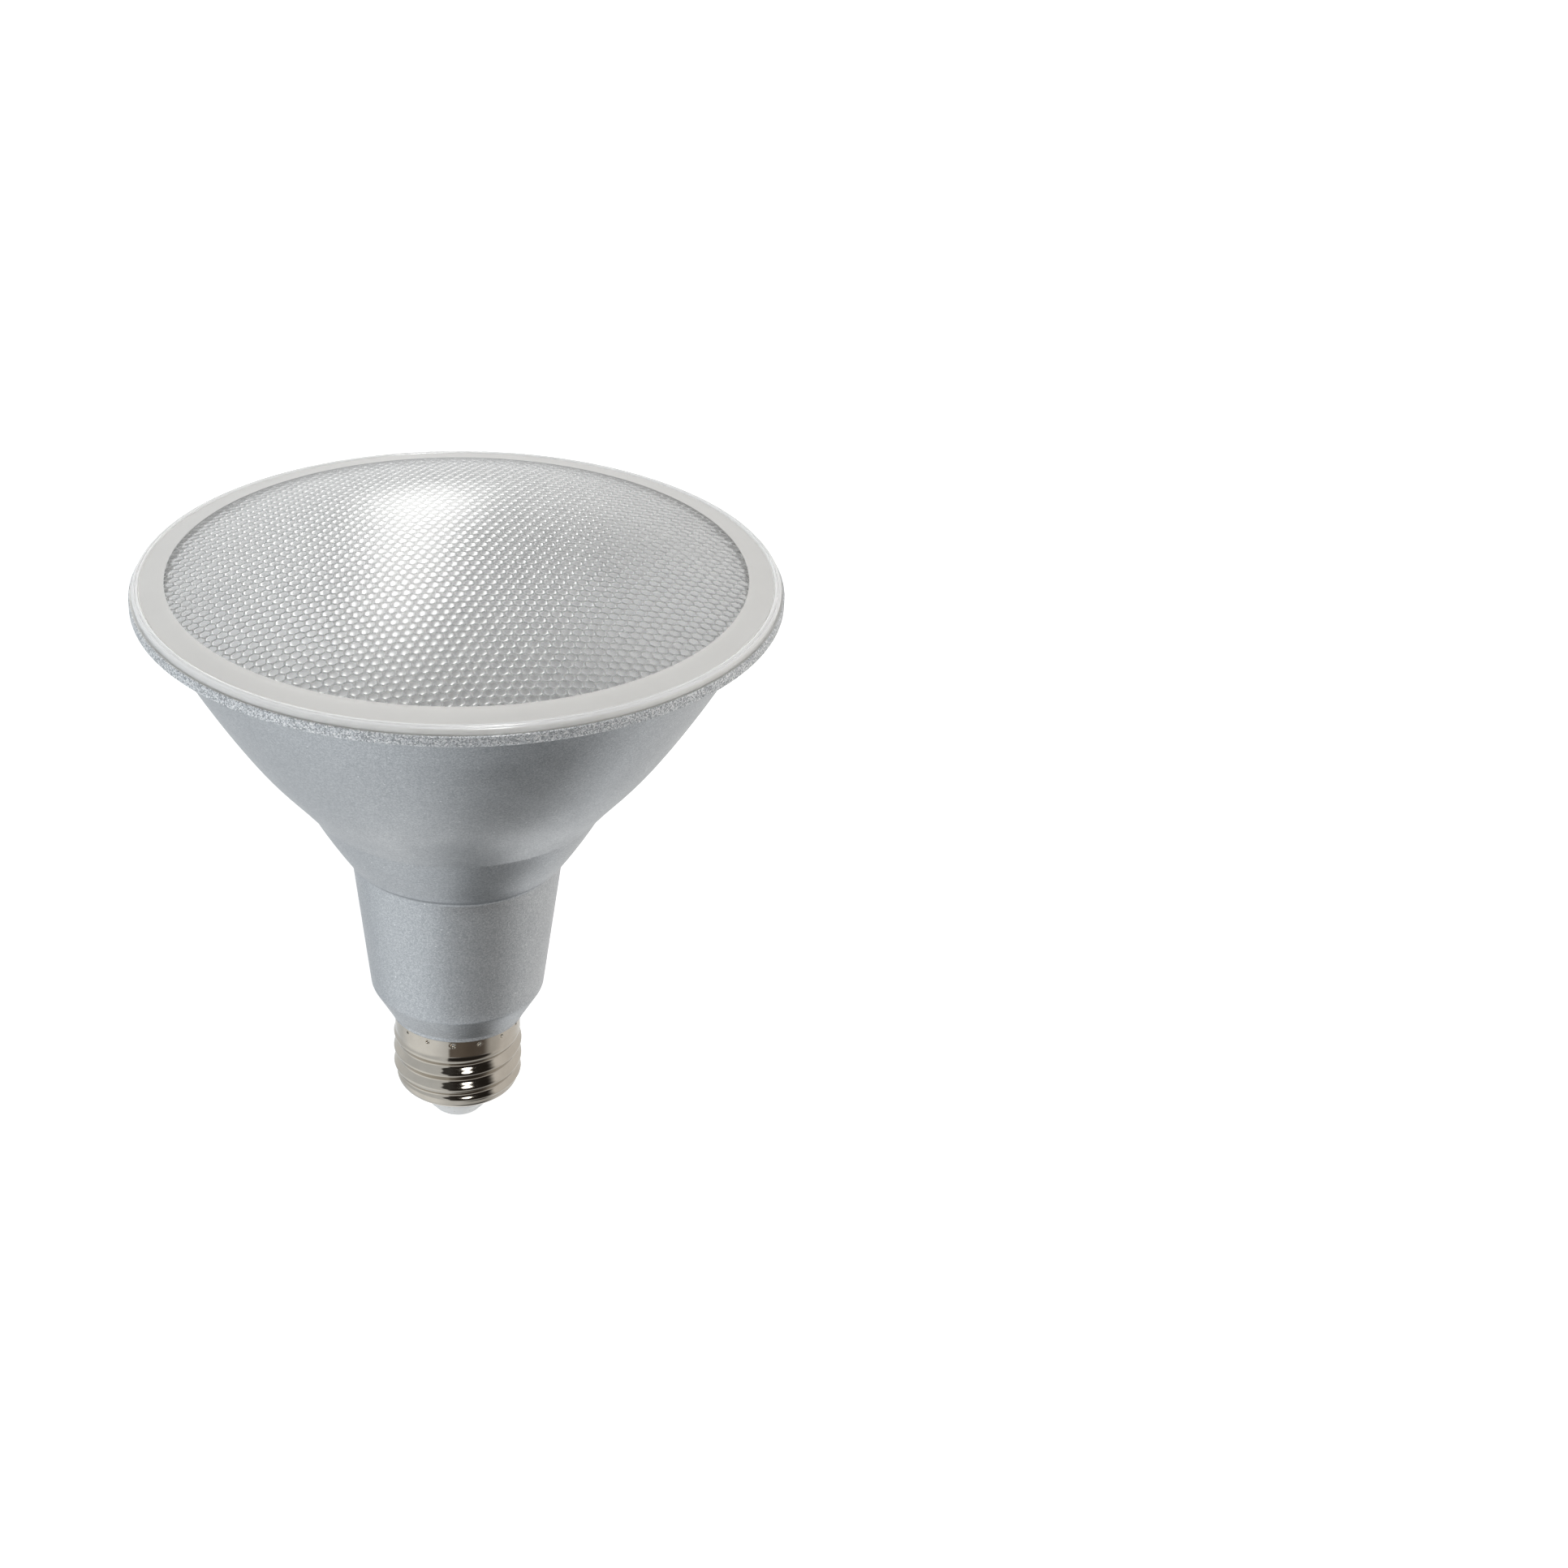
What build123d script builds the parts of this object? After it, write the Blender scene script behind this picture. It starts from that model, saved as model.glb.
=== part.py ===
from build123d import *
import math
import os

# Large-reflector LED lamp with a medium screw base. Millimetres.
# Origin: centre of the flat end face of the centre contact. +Z runs up the lamp's axis to the lens.

# ---------------------------------------------------------------- driving dimensions
# screw base
CREST_R = 13.15          # outside radius over the thread's crests
ROOT_R = 12.33           # outside radius in the thread's roots
PITCH = 3.629            # seven threads to the inch
CREST_Z = 13.78          # height of a crest on the +X side
SHEET = 0.30             # sheet of the screw shell
COLLAR_R = 12.80         # plain collar above the thread
COLLAR_TOP = 24.80
LIP_R, LIP_Z = 9.50, 7.05    # inner end of the rolled-in lip
THREAD_Z0, THREAD_Z1 = 9.50, 21.30
STAKE_Z, STAKE_COUNT, STAKE_FIRST = 23.60, 15, -4.3   # staking dimples, degrees from the front
STAKE_R = 0.354

# insulator and contact
INS_BOTTOM_Z, INS_BOTTOM_R = 0.80, 4.85
CONTACT_R = 3.00

# housing
NECK_R0, NECK_Z0 = 17.50, 32.10
NECK_R1, NECK_Z1 = 20.96, 61.90
BAND_R0, BAND_Z0 = 22.19, 63.25
BAND_MID = (25.97, 69.30)
BAND_R1, BAND_Z1 = 29.47, 75.60
BOWL = [(33.10, 80.10), (38.10, 86.10), (43.75, 94.10), (48.70, 102.10), (52.90, 109.60), (57.15, 118.40)]
FLANGE_R, FLANGE_Z0, FLANGE_Z1 = 61.30, 118.40, 120.50
WALL = 2.20
BOWL_WALL = 1.70
SHELF_Z = 86.50          # inner shelf that the heat sink rests on
SEAT_Z, SEAT_R = 119.10, 57.00   # step in the mouth for the reflector's rim
SPIGOT_R, SPIGOT_Z = 11.90, 13.00
SPIGOT_COLLAR_R = 12.42
BORE_R = 10.30

# lens
LENS_WALL_R = 60.70
BEAD_R, BEAD_TOP = 60.05, 121.95
STEP_R, STEP_Z = 59.40, 121.72
HEX_EDGE_R, HEX_EDGE_Z = 55.50, 122.50
DOME_R = 203.0
LENS_T = 2.30
APEX_Z = 130.30

# inside
SINK_T, SINK_PLATE_T = 1.50, 2.50
SINK_TOP = SHELF_Z + SINK_PLATE_T
PAD_T = 0.20
BOARD_R, BOARD_T = 32.0, 1.60
BOARD_Z = SINK_TOP + PAD_T
BOARD_TOP = BOARD_Z + BOARD_T
SCREW_R, SCREW_ANGLES = 28.0, (30.0, 150.0, 270.0)
EMITTER = 3.45
REFL_R0, REFL_R1, REFL_T = 20.5, 53.5, 1.20
PCB_Y0, PCB_Y1 = 4.20, 5.80
PCB_X, PCB_Z0, PCB_Z1 = 12.80, 29.00, 78.00


# ---------------------------------------------------------------- helpers
def at(r, z):
    return Vector(r, 0, z)


def turned(start, *steps):
    """Solid of revolution about Z from an outline in the XZ plane. A step is a point, ("arc", mid, end) or ("spline", points)."""
    edges, here = [], start
    for s in steps:
        if s[0] == "arc":
            edges.append(ThreePointArc(at(*here), at(*s[1]), at(*s[2])))
            here = s[2]
        elif s[0] == "spline":
            edges.append(Spline(*[at(*p) for p in [here] + list(s[1])]))
            here = s[1][-1]
        else:
            edges.append(Line(at(*here), at(*s)))
            here = s
    if math.dist(here, start) > 1e-6:
        edges.append(Line(at(*here), at(*start)))
    return revolve(Face(Wire([e.edge() if not isinstance(e, Edge) else e for e in edges])), Axis.Z, 360)


def rod(a, b, r):
    a, b = Vector(*a), Vector(*b)
    d = b - a
    return Solid.make_cylinder(r, d.length, Plane(origin=a, z_dir=d))


def block(x0, x1, y0, y1, z0, z1):
    return Pos((x0 + x1) / 2, (y0 + y1) / 2, (z0 + z1) / 2) * Box(x1 - x0, y1 - y0, z1 - z0)


def can(x, y, z0, z1, r, edge=0.6):
    c = Solid.make_cylinder(r, z1 - z0, Plane((x, y, z0)))
    return fillet(c.edges().filter_by(GeomType.CIRCLE), edge)


def one(*shapes):
    out = shapes[0]
    for s in shapes[1:]:
        out = out + s
    return out


def wire(points, r, radius):
    path = FilletPolyline(*points, radius=radius)
    first = path.wire()
    return sweep(Plane(origin=first @ 0, z_dir=first % 0) * Circle(r), path=first)


def offset_in(points, gap):
    """Points moved square to the curve through them, towards the axis."""
    out = []
    for k, (r, z) in enumerate(points):
        a, b = points[max(k - 1, 0)], points[min(k + 1, len(points) - 1)]
        tr, tz = b[0] - a[0], b[1] - a[1]
        m = math.hypot(tr, tz)
        out.append((r - gap * tz / m, z + gap * tr / m))
    return out


parts = {}

# ---------------------------------------------------------------- screw shell: rolled sheet, staked collar, rolled-in lip
MEAN_R = (CREST_R + ROOT_R) / 2
LIP_WALL_R = 12.55       # where the lip meets the thread


def ease(t):
    t = max(0.0, min(1.0, t))
    return t * t * (3 - 2 * t)


def thread_radius(turn, z):
    """Outside radius at an angle about Z (radians from +X) and a height: a right-hand wave that fades out at both ends."""
    wave = (CREST_R - ROOT_R) / 2 * ease(z - THREAD_Z0) * ease((THREAD_Z1 - 0.1 - z) / 2.6)
    base = MEAN_R + (LIP_WALL_R - MEAN_R) * (1 - ease(z - THREAD_Z0)) + (COLLAR_R - MEAN_R) * ease((z - THREAD_Z1 + 2.7) / 2.6)
    return base + wave * math.cos(2 * math.pi * (z - CREST_Z) / PITCH - turn)


def meridian(turn, inside):
    """(radius, height) down one side of the sheet: lip, thread, collar."""
    out = []
    la, lb = LIP_WALL_R - LIP_R, THREAD_Z0 - LIP_Z
    for k in range(8):
        t = math.pi / 2 * k / 8
        r, z = LIP_R + la * math.sin(t), THREAD_Z0 - lb * math.cos(t)
        if inside:
            nr, nz = math.sin(t) / la, -math.cos(t) / lb
            m = math.hypot(nr, nz)
            r, z = r - SHEET * nr / m, z - SHEET * nz / m
        out.append((r, z))
    for k in range(49):
        z = THREAD_Z0 + (THREAD_Z1 - THREAD_Z0) * k / 48
        r = thread_radius(turn, z)
        if inside:
            k1 = (thread_radius(turn, z + 2e-3) - thread_radius(turn, z - 2e-3)) / 4e-3
            r -= SHEET * math.hypot(1, k1)
        out.append((r, z))
    for k in range(1, 6):
        out.append((COLLAR_R - (SHEET if inside else 0), THREAD_Z1 + (COLLAR_TOP - THREAD_Z1) * k / 5))
    return out


def sheet_side(inside):
    rows = []
    for j in range(49):
        turn = math.pi / 2 + 2 * math.pi * j / 48
        rows.append([Vector(r * math.cos(turn), r * math.sin(turn), z) for r, z in meridian(turn, inside)])
    return Face.make_surface_from_array_of_points(rows, tol=0.01, min_deg=3, max_deg=3)


def end_edges(face):
    level = [e for e in face.edges() if abs((e @ 0).Z - (e @ 1).Z) < 1e-3 and abs((e @ 0.5).Z - (e @ 0).Z) < 0.05]
    level = sorted(level, key=lambda e: (e @ 0).Z)
    return level[0], level[-1]


skin_out, skin_in = sheet_side(False), sheet_side(True)
(low_out, top_out), (low_in_edge, top_in_edge) = end_edges(skin_out), end_edges(skin_in)
shell = Solid(Shell([
    skin_out, skin_in,
    Face.make_surface_from_curves(top_out, top_in_edge), Face.make_surface_from_curves(low_out, low_in_edge)]))
stakes = []
for k in range(STAKE_COUNT):
    a = math.radians(-90 + STAKE_FIRST + k * 360 / STAKE_COUNT)
    r = COLLAR_R + 0.054
    stakes.append((r * math.cos(a), r * math.sin(a)))
collar_skin = Pos(0, 0, STAKE_Z) * Cylinder(COLLAR_R - SHEET + 0.15, 2.4)
for x, y in stakes:
    shell = shell + (Pos(x, y, STAKE_Z) * Sphere(STAKE_R + SHEET) & collar_skin)
for x, y in stakes:
    shell = shell - Pos(x, y, STAKE_Z) * Sphere(STAKE_R)
parts["screw_shell"] = shell

# ---------------------------------------------------------------- base insulator and centre contact
insulator = turned(
    (1.60, INS_BOTTOM_Z), (INS_BOTTOM_R, INS_BOTTOM_Z),
    ("spline", [(5.90, 2.10), (6.70, 3.10), (7.50, 4.10), (8.45, 5.30), (9.10, 6.40)]),
    (9.12, 7.60), (11.30, 9.20), (11.75, 10.00), (11.75, 13.00), (9.30, 13.00), (9.30, 10.20), (7.40, 7.90), (3.40, 4.20), (1.60, 4.20))
insulator += turned((1.60, 4.20), (3.00, 4.20), (2.60, 6.20), (1.60, 6.20))
parts["base_insulator"] = insulator

contact = turned(
    (0, 0), (CONTACT_R - 0.45, 0), ("arc", (CONTACT_R - 0.13, 0.14), (CONTACT_R, 0.45)), (CONTACT_R, INS_BOTTOM_Z),
    (1.55, INS_BOTTOM_Z), (1.55, 7.00), (1.25, 7.30), (0, 7.30))
parts["centre_contact"] = contact

# ---------------------------------------------------------------- housing
bowl_out = [(BAND_R1, BAND_Z1)] + BOWL
low_in = offset_in(bowl_out, WALL)
high_in = offset_in(bowl_out, BOWL_WALL)


def radius_at(points, z):
    for a, b in zip(points, points[1:]):
        if a[1] <= z <= b[1]:
            return a[0] + (b[0] - a[0]) * (z - a[1]) / (b[1] - a[1])
    return points[-1][0] if z > points[-1][1] else points[0][0]


shelf_in, shelf_out = radius_at(low_in, SHELF_Z), radius_at(high_in, SHELF_Z)
mouth_r = radius_at(high_in, SEAT_Z) if high_in[-1][1] > SEAT_Z else high_in[-1][0]
inner_low = [(BAND_R1 - 2.05, BAND_Z1 + 1.05), low_in[1], (shelf_in, SHELF_Z)]
inner_high = [(shelf_out, SHELF_Z)] + [p for p in high_in if SHELF_Z + 2 < p[1] < SEAT_Z - 2] + [(mouth_r, SEAT_Z)]

housing = turned(
    (BORE_R, SPIGOT_Z), (SPIGOT_R, SPIGOT_Z), (SPIGOT_R, 20.90), (SPIGOT_COLLAR_R, 21.30), (SPIGOT_COLLAR_R, COLLAR_TOP),
    (13.00, COLLAR_TOP), ("arc", (13.45, 24.95), (13.70, 25.35)), (13.70, 25.80), ("arc", (13.82, 26.12), (14.20, 26.30)),
    (NECK_R0 - 0.22, NECK_Z0 - 0.35), ("arc", (NECK_R0 - 0.05, NECK_Z0), (NECK_R0 + 0.06, NECK_Z0 + 0.40)),
    (NECK_R1 - 0.06, NECK_Z1 - 0.50), ("arc", (NECK_R1 + 0.10, NECK_Z1 + 0.18), (NECK_R1 + 0.50, NECK_Z1 + 0.62)),
    (BAND_R0 - 0.12, BAND_Z0 - 0.10), ("arc", (BAND_R0 + 0.02, BAND_Z0 + 0.06), (BAND_R0 + 0.12, BAND_Z0 + 0.26)),
    ("arc", BAND_MID, (BAND_R1 - 0.10, BAND_Z1 - 0.18)), ("arc", (BAND_R1 + 0.02, BAND_Z1), (BAND_R1 + 0.16, BAND_Z1 + 0.18)),
    ("spline", BOWL),
    (FLANGE_R - 0.30, FLANGE_Z0), ("arc", (FLANGE_R - 0.09, FLANGE_Z0 + 0.09), (FLANGE_R, FLANGE_Z0 + 0.30)),
    (FLANGE_R, FLANGE_Z1 - 0.25), ("arc", (FLANGE_R - 0.07, FLANGE_Z1 - 0.07), (FLANGE_R - 0.25, FLANGE_Z1)),
    (59.80, FLANGE_Z1), (59.80, FLANGE_Z1 - 0.60), (58.40, FLANGE_Z1 - 0.60), (58.40, FLANGE_Z1),
    (SEAT_R, FLANGE_Z1), (SEAT_R, SEAT_Z), (mouth_r, SEAT_Z),
    ("spline", inner_high[::-1][1:]), (shelf_in, SHELF_Z), ("spline", inner_low[::-1][1:]),
    (20.30, 64.20), (18.85, 61.50), (15.50, 33.00), (12.46, 27.30), (BORE_R, 27.30))
for x, y in stakes:
    k = (COLLAR_R + 0.054) / math.hypot(x, y)
    housing = housing - Pos(x * k, y * k, STAKE_Z) * Sphere(STAKE_R + SHEET + 0.04)
housing = housing - block(9.0, 13.0, -1.3, 1.3, SPIGOT_Z - 1, SPIGOT_Z + 2.0)
parts["housing"] = housing

# ---------------------------------------------------------------- lens and its seal
half = math.asin(HEX_EDGE_R / DOME_R)
centre_z = HEX_EDGE_Z - DOME_R * math.cos(half)


def dome(r, R):
    return centre_z + math.sqrt(R * R - r * r)


R_IN = DOME_R - LENS_T
lens = turned(
    (0, dome(0, R_IN)), (0, dome(0, DOME_R)), ("arc", (HEX_EDGE_R / 2, dome(HEX_EDGE_R / 2, DOME_R)), (HEX_EDGE_R, HEX_EDGE_Z)),
    (STEP_R, STEP_Z), ("arc", (BEAD_R, BEAD_TOP), (LENS_WALL_R, 121.30)), (LENS_WALL_R, FLANGE_Z1),
    (56.90, FLANGE_Z1), (56.90, SEAT_Z + 0.60), (55.20, SEAT_Z + 0.60), (54.60, dome(54.60, R_IN)),
    ("arc", (27.0, dome(27.0, R_IN)), (0, dome(0, R_IN))))
parts["lens"] = lens
parts["lens_gasket"] = turned((58.40, FLANGE_Z1 - 0.60), (59.80, FLANGE_Z1 - 0.60), (59.80, FLANGE_Z1), (58.40, FLANGE_Z1))

# ---------------------------------------------------------------- reflector bowl
FOUR_F = (REFL_R1 ** 2 - REFL_R0 ** 2) / (SEAT_Z + 0.6 - BOARD_TOP)


def parabola(r):
    return BOARD_TOP + (r * r - REFL_R0 ** 2) / FOUR_F


refl_in = [(r, parabola(r)) for r in (26.0, 32.0, 38.0, 43.5, 48.5)] + [(REFL_R1, SEAT_Z + 0.60)]
refl_out = [(r + 0.86, parabola(r) - 0.86) for r, _ in refl_in[:-1]]
reflector = turned(
    (REFL_R0, BOARD_TOP), ("spline", refl_in), (56.80, SEAT_Z + 0.60), (56.80, SEAT_Z), (54.20, SEAT_Z), ("spline", refl_out[::-1] + [(REFL_R0 + 1.35, BOARD_TOP)]))
parts["reflector"] = reflector

# ---------------------------------------------------------------- heat sink: drawn aluminium cup
sink_wall = offset_in([(BAND_R0, BAND_Z0 + 3.0), (BAND_R1, BAND_Z1)] + BOWL[:2] + [(39.2, 88.0)], WALL + 0.25)
rim_r = shelf_out - 0.15
cup_out = [p for p in sink_wall if p[1] < SHELF_Z - 2.5]
sink = turned(
    (0, SHELF_Z), (0, SINK_TOP), (rim_r - 0.3, SINK_TOP), (rim_r, SINK_TOP - 0.3), (rim_r, SHELF_Z),
    (shelf_in - 0.30, SHELF_Z), *[p for p in cup_out[::-1]],
    *[(r - SINK_T * 0.95, z) for r, z in cup_out], (shelf_in - 0.30 - SINK_T * 1.9, SHELF_Z))
for a in SCREW_ANGLES:
    x, y = SCREW_R * math.cos(math.radians(a)), SCREW_R * math.sin(math.radians(a))
    sink = sink - Solid.make_cylinder(1.50, 8, Plane((x, y, SHELF_Z - 2)))
LEAD_X, LEAD_Y = -7.0, 28.0
sink = sink - Solid.make_cylinder(2.2, 8, Plane((LEAD_X, LEAD_Y, SHELF_Z - 2)))
parts["heat_sink"] = sink

pad = Solid.make_cylinder(BOARD_R - 0.5, PAD_T, Plane((0, 0, SINK_TOP)))
board = Solid.make_cylinder(BOARD_R, BOARD_T, Plane((0, 0, BOARD_Z)))
screws = []
for a in SCREW_ANGLES:
    x, y = SCREW_R * math.cos(math.radians(a)), SCREW_R * math.sin(math.radians(a))
    hole = Solid.make_cylinder(1.70, 8, Plane((x, y, SHELF_Z)))
    pad, board = pad - hole, board - hole
    head = Solid.make_cylinder(2.60, 1.10, Plane((x, y, BOARD_TOP)))
    head = fillet(head.edges().filter_by(GeomType.CIRCLE).sort_by(Axis.Z)[-1:], 0.45)
    s = head + Solid.make_cylinder(1.45, 5.6, Plane((x, y, BOARD_TOP - 5.6)))
    s = s - Pos(x, y, BOARD_TOP + 0.90) * Box(3.0, 0.55, 0.9) - Pos(x, y, BOARD_TOP + 0.90) * Box(0.55, 3.0, 0.9)
    screws.append(s)
lead_hole = Solid.make_cylinder(2.0, 8, Plane((LEAD_X, LEAD_Y, SHELF_Z)))
parts["thermal_pad"] = pad - lead_hole
parts["led_board"] = board - lead_hole
parts["board_screws"] = Compound(children=[s.solid() for s in screws])

leds = []
spots = [(0.0, 0.0, 0.0)] + [(8.0, k * 60.0 + 30, 0.0) for k in range(6)] + [(15.6, k * 30.0, 0.0) for k in range(12)]
for r, a, _ in spots:
    x, y = r * math.cos(math.radians(a)), r * math.sin(math.radians(a))
    body = Pos(x, y, BOARD_TOP + 0.30) * Box(EMITTER, EMITTER, 0.60)
    ball = Pos(x, y, BOARD_TOP + 0.60) * Sphere(1.35)
    leds.append((body + (ball & Pos(x, y, BOARD_TOP + 1.6) * Box(3, 3, 2.0))).solid())
parts["led_packages"] = Compound(children=leds)

connector = block(-2.6, 3.4, 26.6, 30.4, BOARD_TOP, BOARD_TOP + 1.8)
connector = connector - block(-2.7, 1.4, 26.95, 28.15, BOARD_TOP + 0.4, BOARD_TOP + 1.56) - block(-2.7, 1.4, 28.5, 29.7, BOARD_TOP + 0.4, BOARD_TOP + 1.56)
parts["board_connector"] = connector

# ---------------------------------------------------------------- driver: sleeve, board, components
sleeve_out = [(12.20, 27.30), (15.22, 33.06), (18.50, 61.00), (18.90, 63.50)]
sleeve = turned(
    (4.0, 27.30), *sleeve_out, (17.90, 63.50), (17.50, 61.00), (14.22, 33.30), (11.75, 28.50), (4.0, 28.50))
envelope = turned((0, 28.0), (12.10, 28.0), (14.60, 33.2), (17.90, 61.0), (17.90, 62.0), (0, 62.0))
for s in (-1, 1):
    rail = block(min(s * 11.2, s * 18.5), max(s * 11.2, s * 18.5), PCB_Y0 - 1.4, PCB_Y1 + 1.4, 35.0, 60.0) & envelope
    rail = rail - block(-PCB_X - 0.05, PCB_X + 0.05, PCB_Y0 - 0.05, PCB_Y1 + 0.05, 30.0, 62.0)
    sleeve = sleeve + rail
parts["driver_sleeve"] = sleeve

pcb_outline = Polyline((-9.8, PCB_Z0), (9.8, PCB_Z0), (PCB_X, 35.0), (PCB_X, PCB_Z1), (-PCB_X, PCB_Z1), (-PCB_X, 35.0), close=True)
pcb = Pos(0, PCB_Y1, 0) * extrude(Plane.XZ * make_face(pcb_outline), PCB_Y1 - PCB_Y0)


def pin(x, z, y_from, r=0.32, far=PCB_Y1 + 0.9):
    """Straight leg from a component, through its hole in the board."""
    global pcb
    pcb = pcb - rod((x, PCB_Y0 - 1, z), (x, PCB_Y1 + 1, z), r + 0.12)
    return rod((x, y_from, z), (x, far, z), r)


def bent_pin(x, y, z_from, z, r=0.32):
    """Leg that leaves along Z, then turns to the board."""
    knee = Pos(x, y, z) * Sphere(r)
    return one(rod((x, y, z_from), (x, y, z), r), knee, pin(x, z, y, r))


cap_in = can(-6.3, -1.6, 33.6, 51.6, 5.0) - Pos(-6.3, -1.6, 33.5) * Box(5.5, 0.4, 0.6)
parts["input_capacitor"] = one(cap_in, bent_pin(-8.8, -1.6, 51.0, 53.2), bent_pin(-3.8, -1.6, 51.0, 53.2))

cap_out = can(3.5, 10.1, 41.0, 52.0, 3.5, 0.5)
parts["output_capacitor"] = one(
    cap_out,
    rod((2.2, 10.1, 51.5), (2.2, 10.1, 53.6), 0.28), Pos(2.2, 10.1, 53.6) * Sphere(0.28), rod((2.2, 10.1, 53.6), (2.2, PCB_Y0 - 0.2, 53.6), 0.28),
    rod((4.8, 10.1, 51.5), (4.8, 10.1, 53.6), 0.28), Pos(4.8, 10.1, 53.6) * Sphere(0.28), rod((4.8, 10.1, 53.6), (4.8, PCB_Y0 - 0.2, 53.6), 0.28))
for x in (2.2, 4.8):
    pcb = pcb - rod((x, PCB_Y0 - 1, 53.6), (x, PCB_Y1 + 1, 53.6), 0.40)

film = fillet(block(1.0, 11.0, -1.2, 3.7, 42.4, 51.0).edges(), 0.6)
parts["film_capacitor"] = one(film, pin(2.3, 46.7, 3.5), pin(9.7, 46.7, 3.5))

TZ, TY = 67.2, -2.6
frame_outer = block(-8.0, 8.0, TY - 2.5, TY + 2.5, TZ - 7.2, TZ + 7.2)
for s in (-1, 1):
    frame_outer = frame_outer - block(min(s * 2.1, s * 5.9), max(s * 2.1, s * 5.9), TY - 3, TY + 3, TZ - 5.1, TZ + 5.1)
lower = frame_outer & block(-9, 9, TY - 4, TY + 4, TZ - 8, TZ)
upper = frame_outer & block(-9, 9, TY - 4, TY + 4, TZ, TZ + 8)
parts["transformer_core"] = Compound(children=[lower.solid(), upper.solid()])
tube = block(-2.9, 2.9, TY - 3.3, TY + 3.3, TZ - 4.9, TZ + 4.9)
for z in (TZ - 4.9, TZ + 4.2):
    tube = tube + block(-5.7, 5.7, TY - 6.2, TY + 6.5, z, z + 0.7)
tube = tube - block(-2.2, 2.2, TY - 2.6, TY + 2.6, TZ - 6, TZ + 6)
tube = tube + block(-5.7, 5.7, TY + 4.6, TY + 6.5, TZ - 4.9, TZ - 3.4) + block(-5.7, 5.7, TY + 4.6, TY + 6.5, TZ + 3.4, TZ + 4.9)
bobbin_pins = [pin(x, z, TY + 5.0, 0.35) for x in (-4.6, -1.5, 1.5, 4.6) for z in (TZ - 4.2, TZ + 4.2)]
parts["transformer_bobbin"] = one(tube, *bobbin_pins)
coil = fillet(block(-5.5, 5.5, TY - 5.6, TY + 4.4, TZ - 3.35, TZ + 3.35).edges().filter_by(Axis.Z), 1.6)
parts["transformer_winding"] = coil - block(-2.95, 2.95, TY - 3.35, TY + 3.35, TZ - 5, TZ + 5)

drum = one(rod((6.6, -3.4, 55.3), (6.6, -2.4, 55.3), 3.4), rod((6.6, -2.5, 55.3), (6.6, 2.9, 55.3), 3.0), rod((6.6, 2.8, 55.3), (6.6, 3.8, 55.3), 3.4))
parts["filter_choke"] = one(drum, pin(5.0, 55.3, 3.5), pin(8.2, 55.3, 3.5))

disc = fillet(rod((0.4, -0.8, 37.6), (3.6, -0.8, 37.6), 4.3).edges().filter_by(GeomType.CIRCLE), 1.0)
parts["varistor"] = one(disc, pin(1.4, 35.8, 2.5), pin(2.6, 39.6, 2.5))

fuse = fillet(rod((8.0, 0.6, 32.6), (8.0, 0.6, 40.6), 1.8).edges().filter_by(GeomType.CIRCLE), 0.6)
parts["fusible_resistor"] = one(fuse, bent_pin(8.0, 0.6, 40.2, 41.3, 0.3), one(rod((8.0, 0.6, 33.0), (8.0, 0.6, 31.6), 0.3), Pos(8.0, 0.6, 31.6) * Sphere(0.3), pin(8.0, 31.6, 0.6, 0.3)))

BACK = PCB_Y1
rect = block(-8.4, -3.7, BACK + 0.2, BACK + 2.6, 36.0, 40.0)
for x in (-8.4, -4.7):
    for z0, z1 in ((35.0, 36.0), (40.0, 41.0)):
        rect = rect + block(x + 0.1, x + 0.9, BACK, BACK + 0.45, z0, z1)
parts["bridge_rectifier"] = rect

chip = block(3.0, 6.9, BACK + 0.15, BACK + 1.6, 33.2, 38.1)
for k in range(4):
    z = 33.75 + 1.27 * k
    chip = chip + block(2.0, 3.0, BACK, BACK + 0.4, z - 0.2, z + 0.2) + block(6.9, 7.9, BACK, BACK + 0.4, z - 0.2, z + 0.2)
parts["driver_chip"] = chip

fet = block(-7.8, -1.2, BACK, BACK + 2.3, 55.2, 61.3)
fet = fet + block(-7.1, -1.9, BACK, BACK + 0.6, 61.3, 62.3)
for x in (-6.8, -4.5, -2.2):
    fet = fet + block(x - 0.4, x + 0.4, BACK, BACK + 0.5, 53.9, 55.2)
parts["switching_transistor"] = fet

# ---------------------------------------------------------------- leads
live_start, neutral_start = (-2.4, PCB_Y0, 31.4), (2.4, PCB_Y0, 31.4)
parts["live_lead"] = wire([live_start, (-2.4, 1.9, 31.4), (-1.6, 1.0, 25.6), (0.0, 0.0, 15.5), (0.0, 0.0, 7.30)], 0.75, 1.1)
parts["neutral_lead"] = wire([neutral_start, (2.4, 1.9, 31.4), (2.2, 1.2, 25.6), (4.6, 0.0, 15.2), (8.2, 0.0, 14.0), (12.00, 0.0, 14.0)], 0.75, 1.1)
parts["output_lead_red"] = wire([(-8.0, BACK, 73.0), (-8.0, 9.0, 73.0), (-7.4, 22.0, 79.0), (-6.05, 29.1, 85.4), (-6.05, 29.1, BOARD_TOP + 0.98), (1.40, 29.1, BOARD_TOP + 0.98)], 0.52, 0.75)
parts["output_lead_black"] = wire([(-10.6, BACK, 73.0), (-10.6, 9.0, 73.0), (-9.2, 21.4, 79.4), (-7.45, 27.55, 85.2), (-7.45, 27.55, BOARD_TOP + 0.98), (1.40, 27.55, BOARD_TOP + 0.98)], 0.52, 0.75)

parts["driver_board"] = pcb

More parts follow.
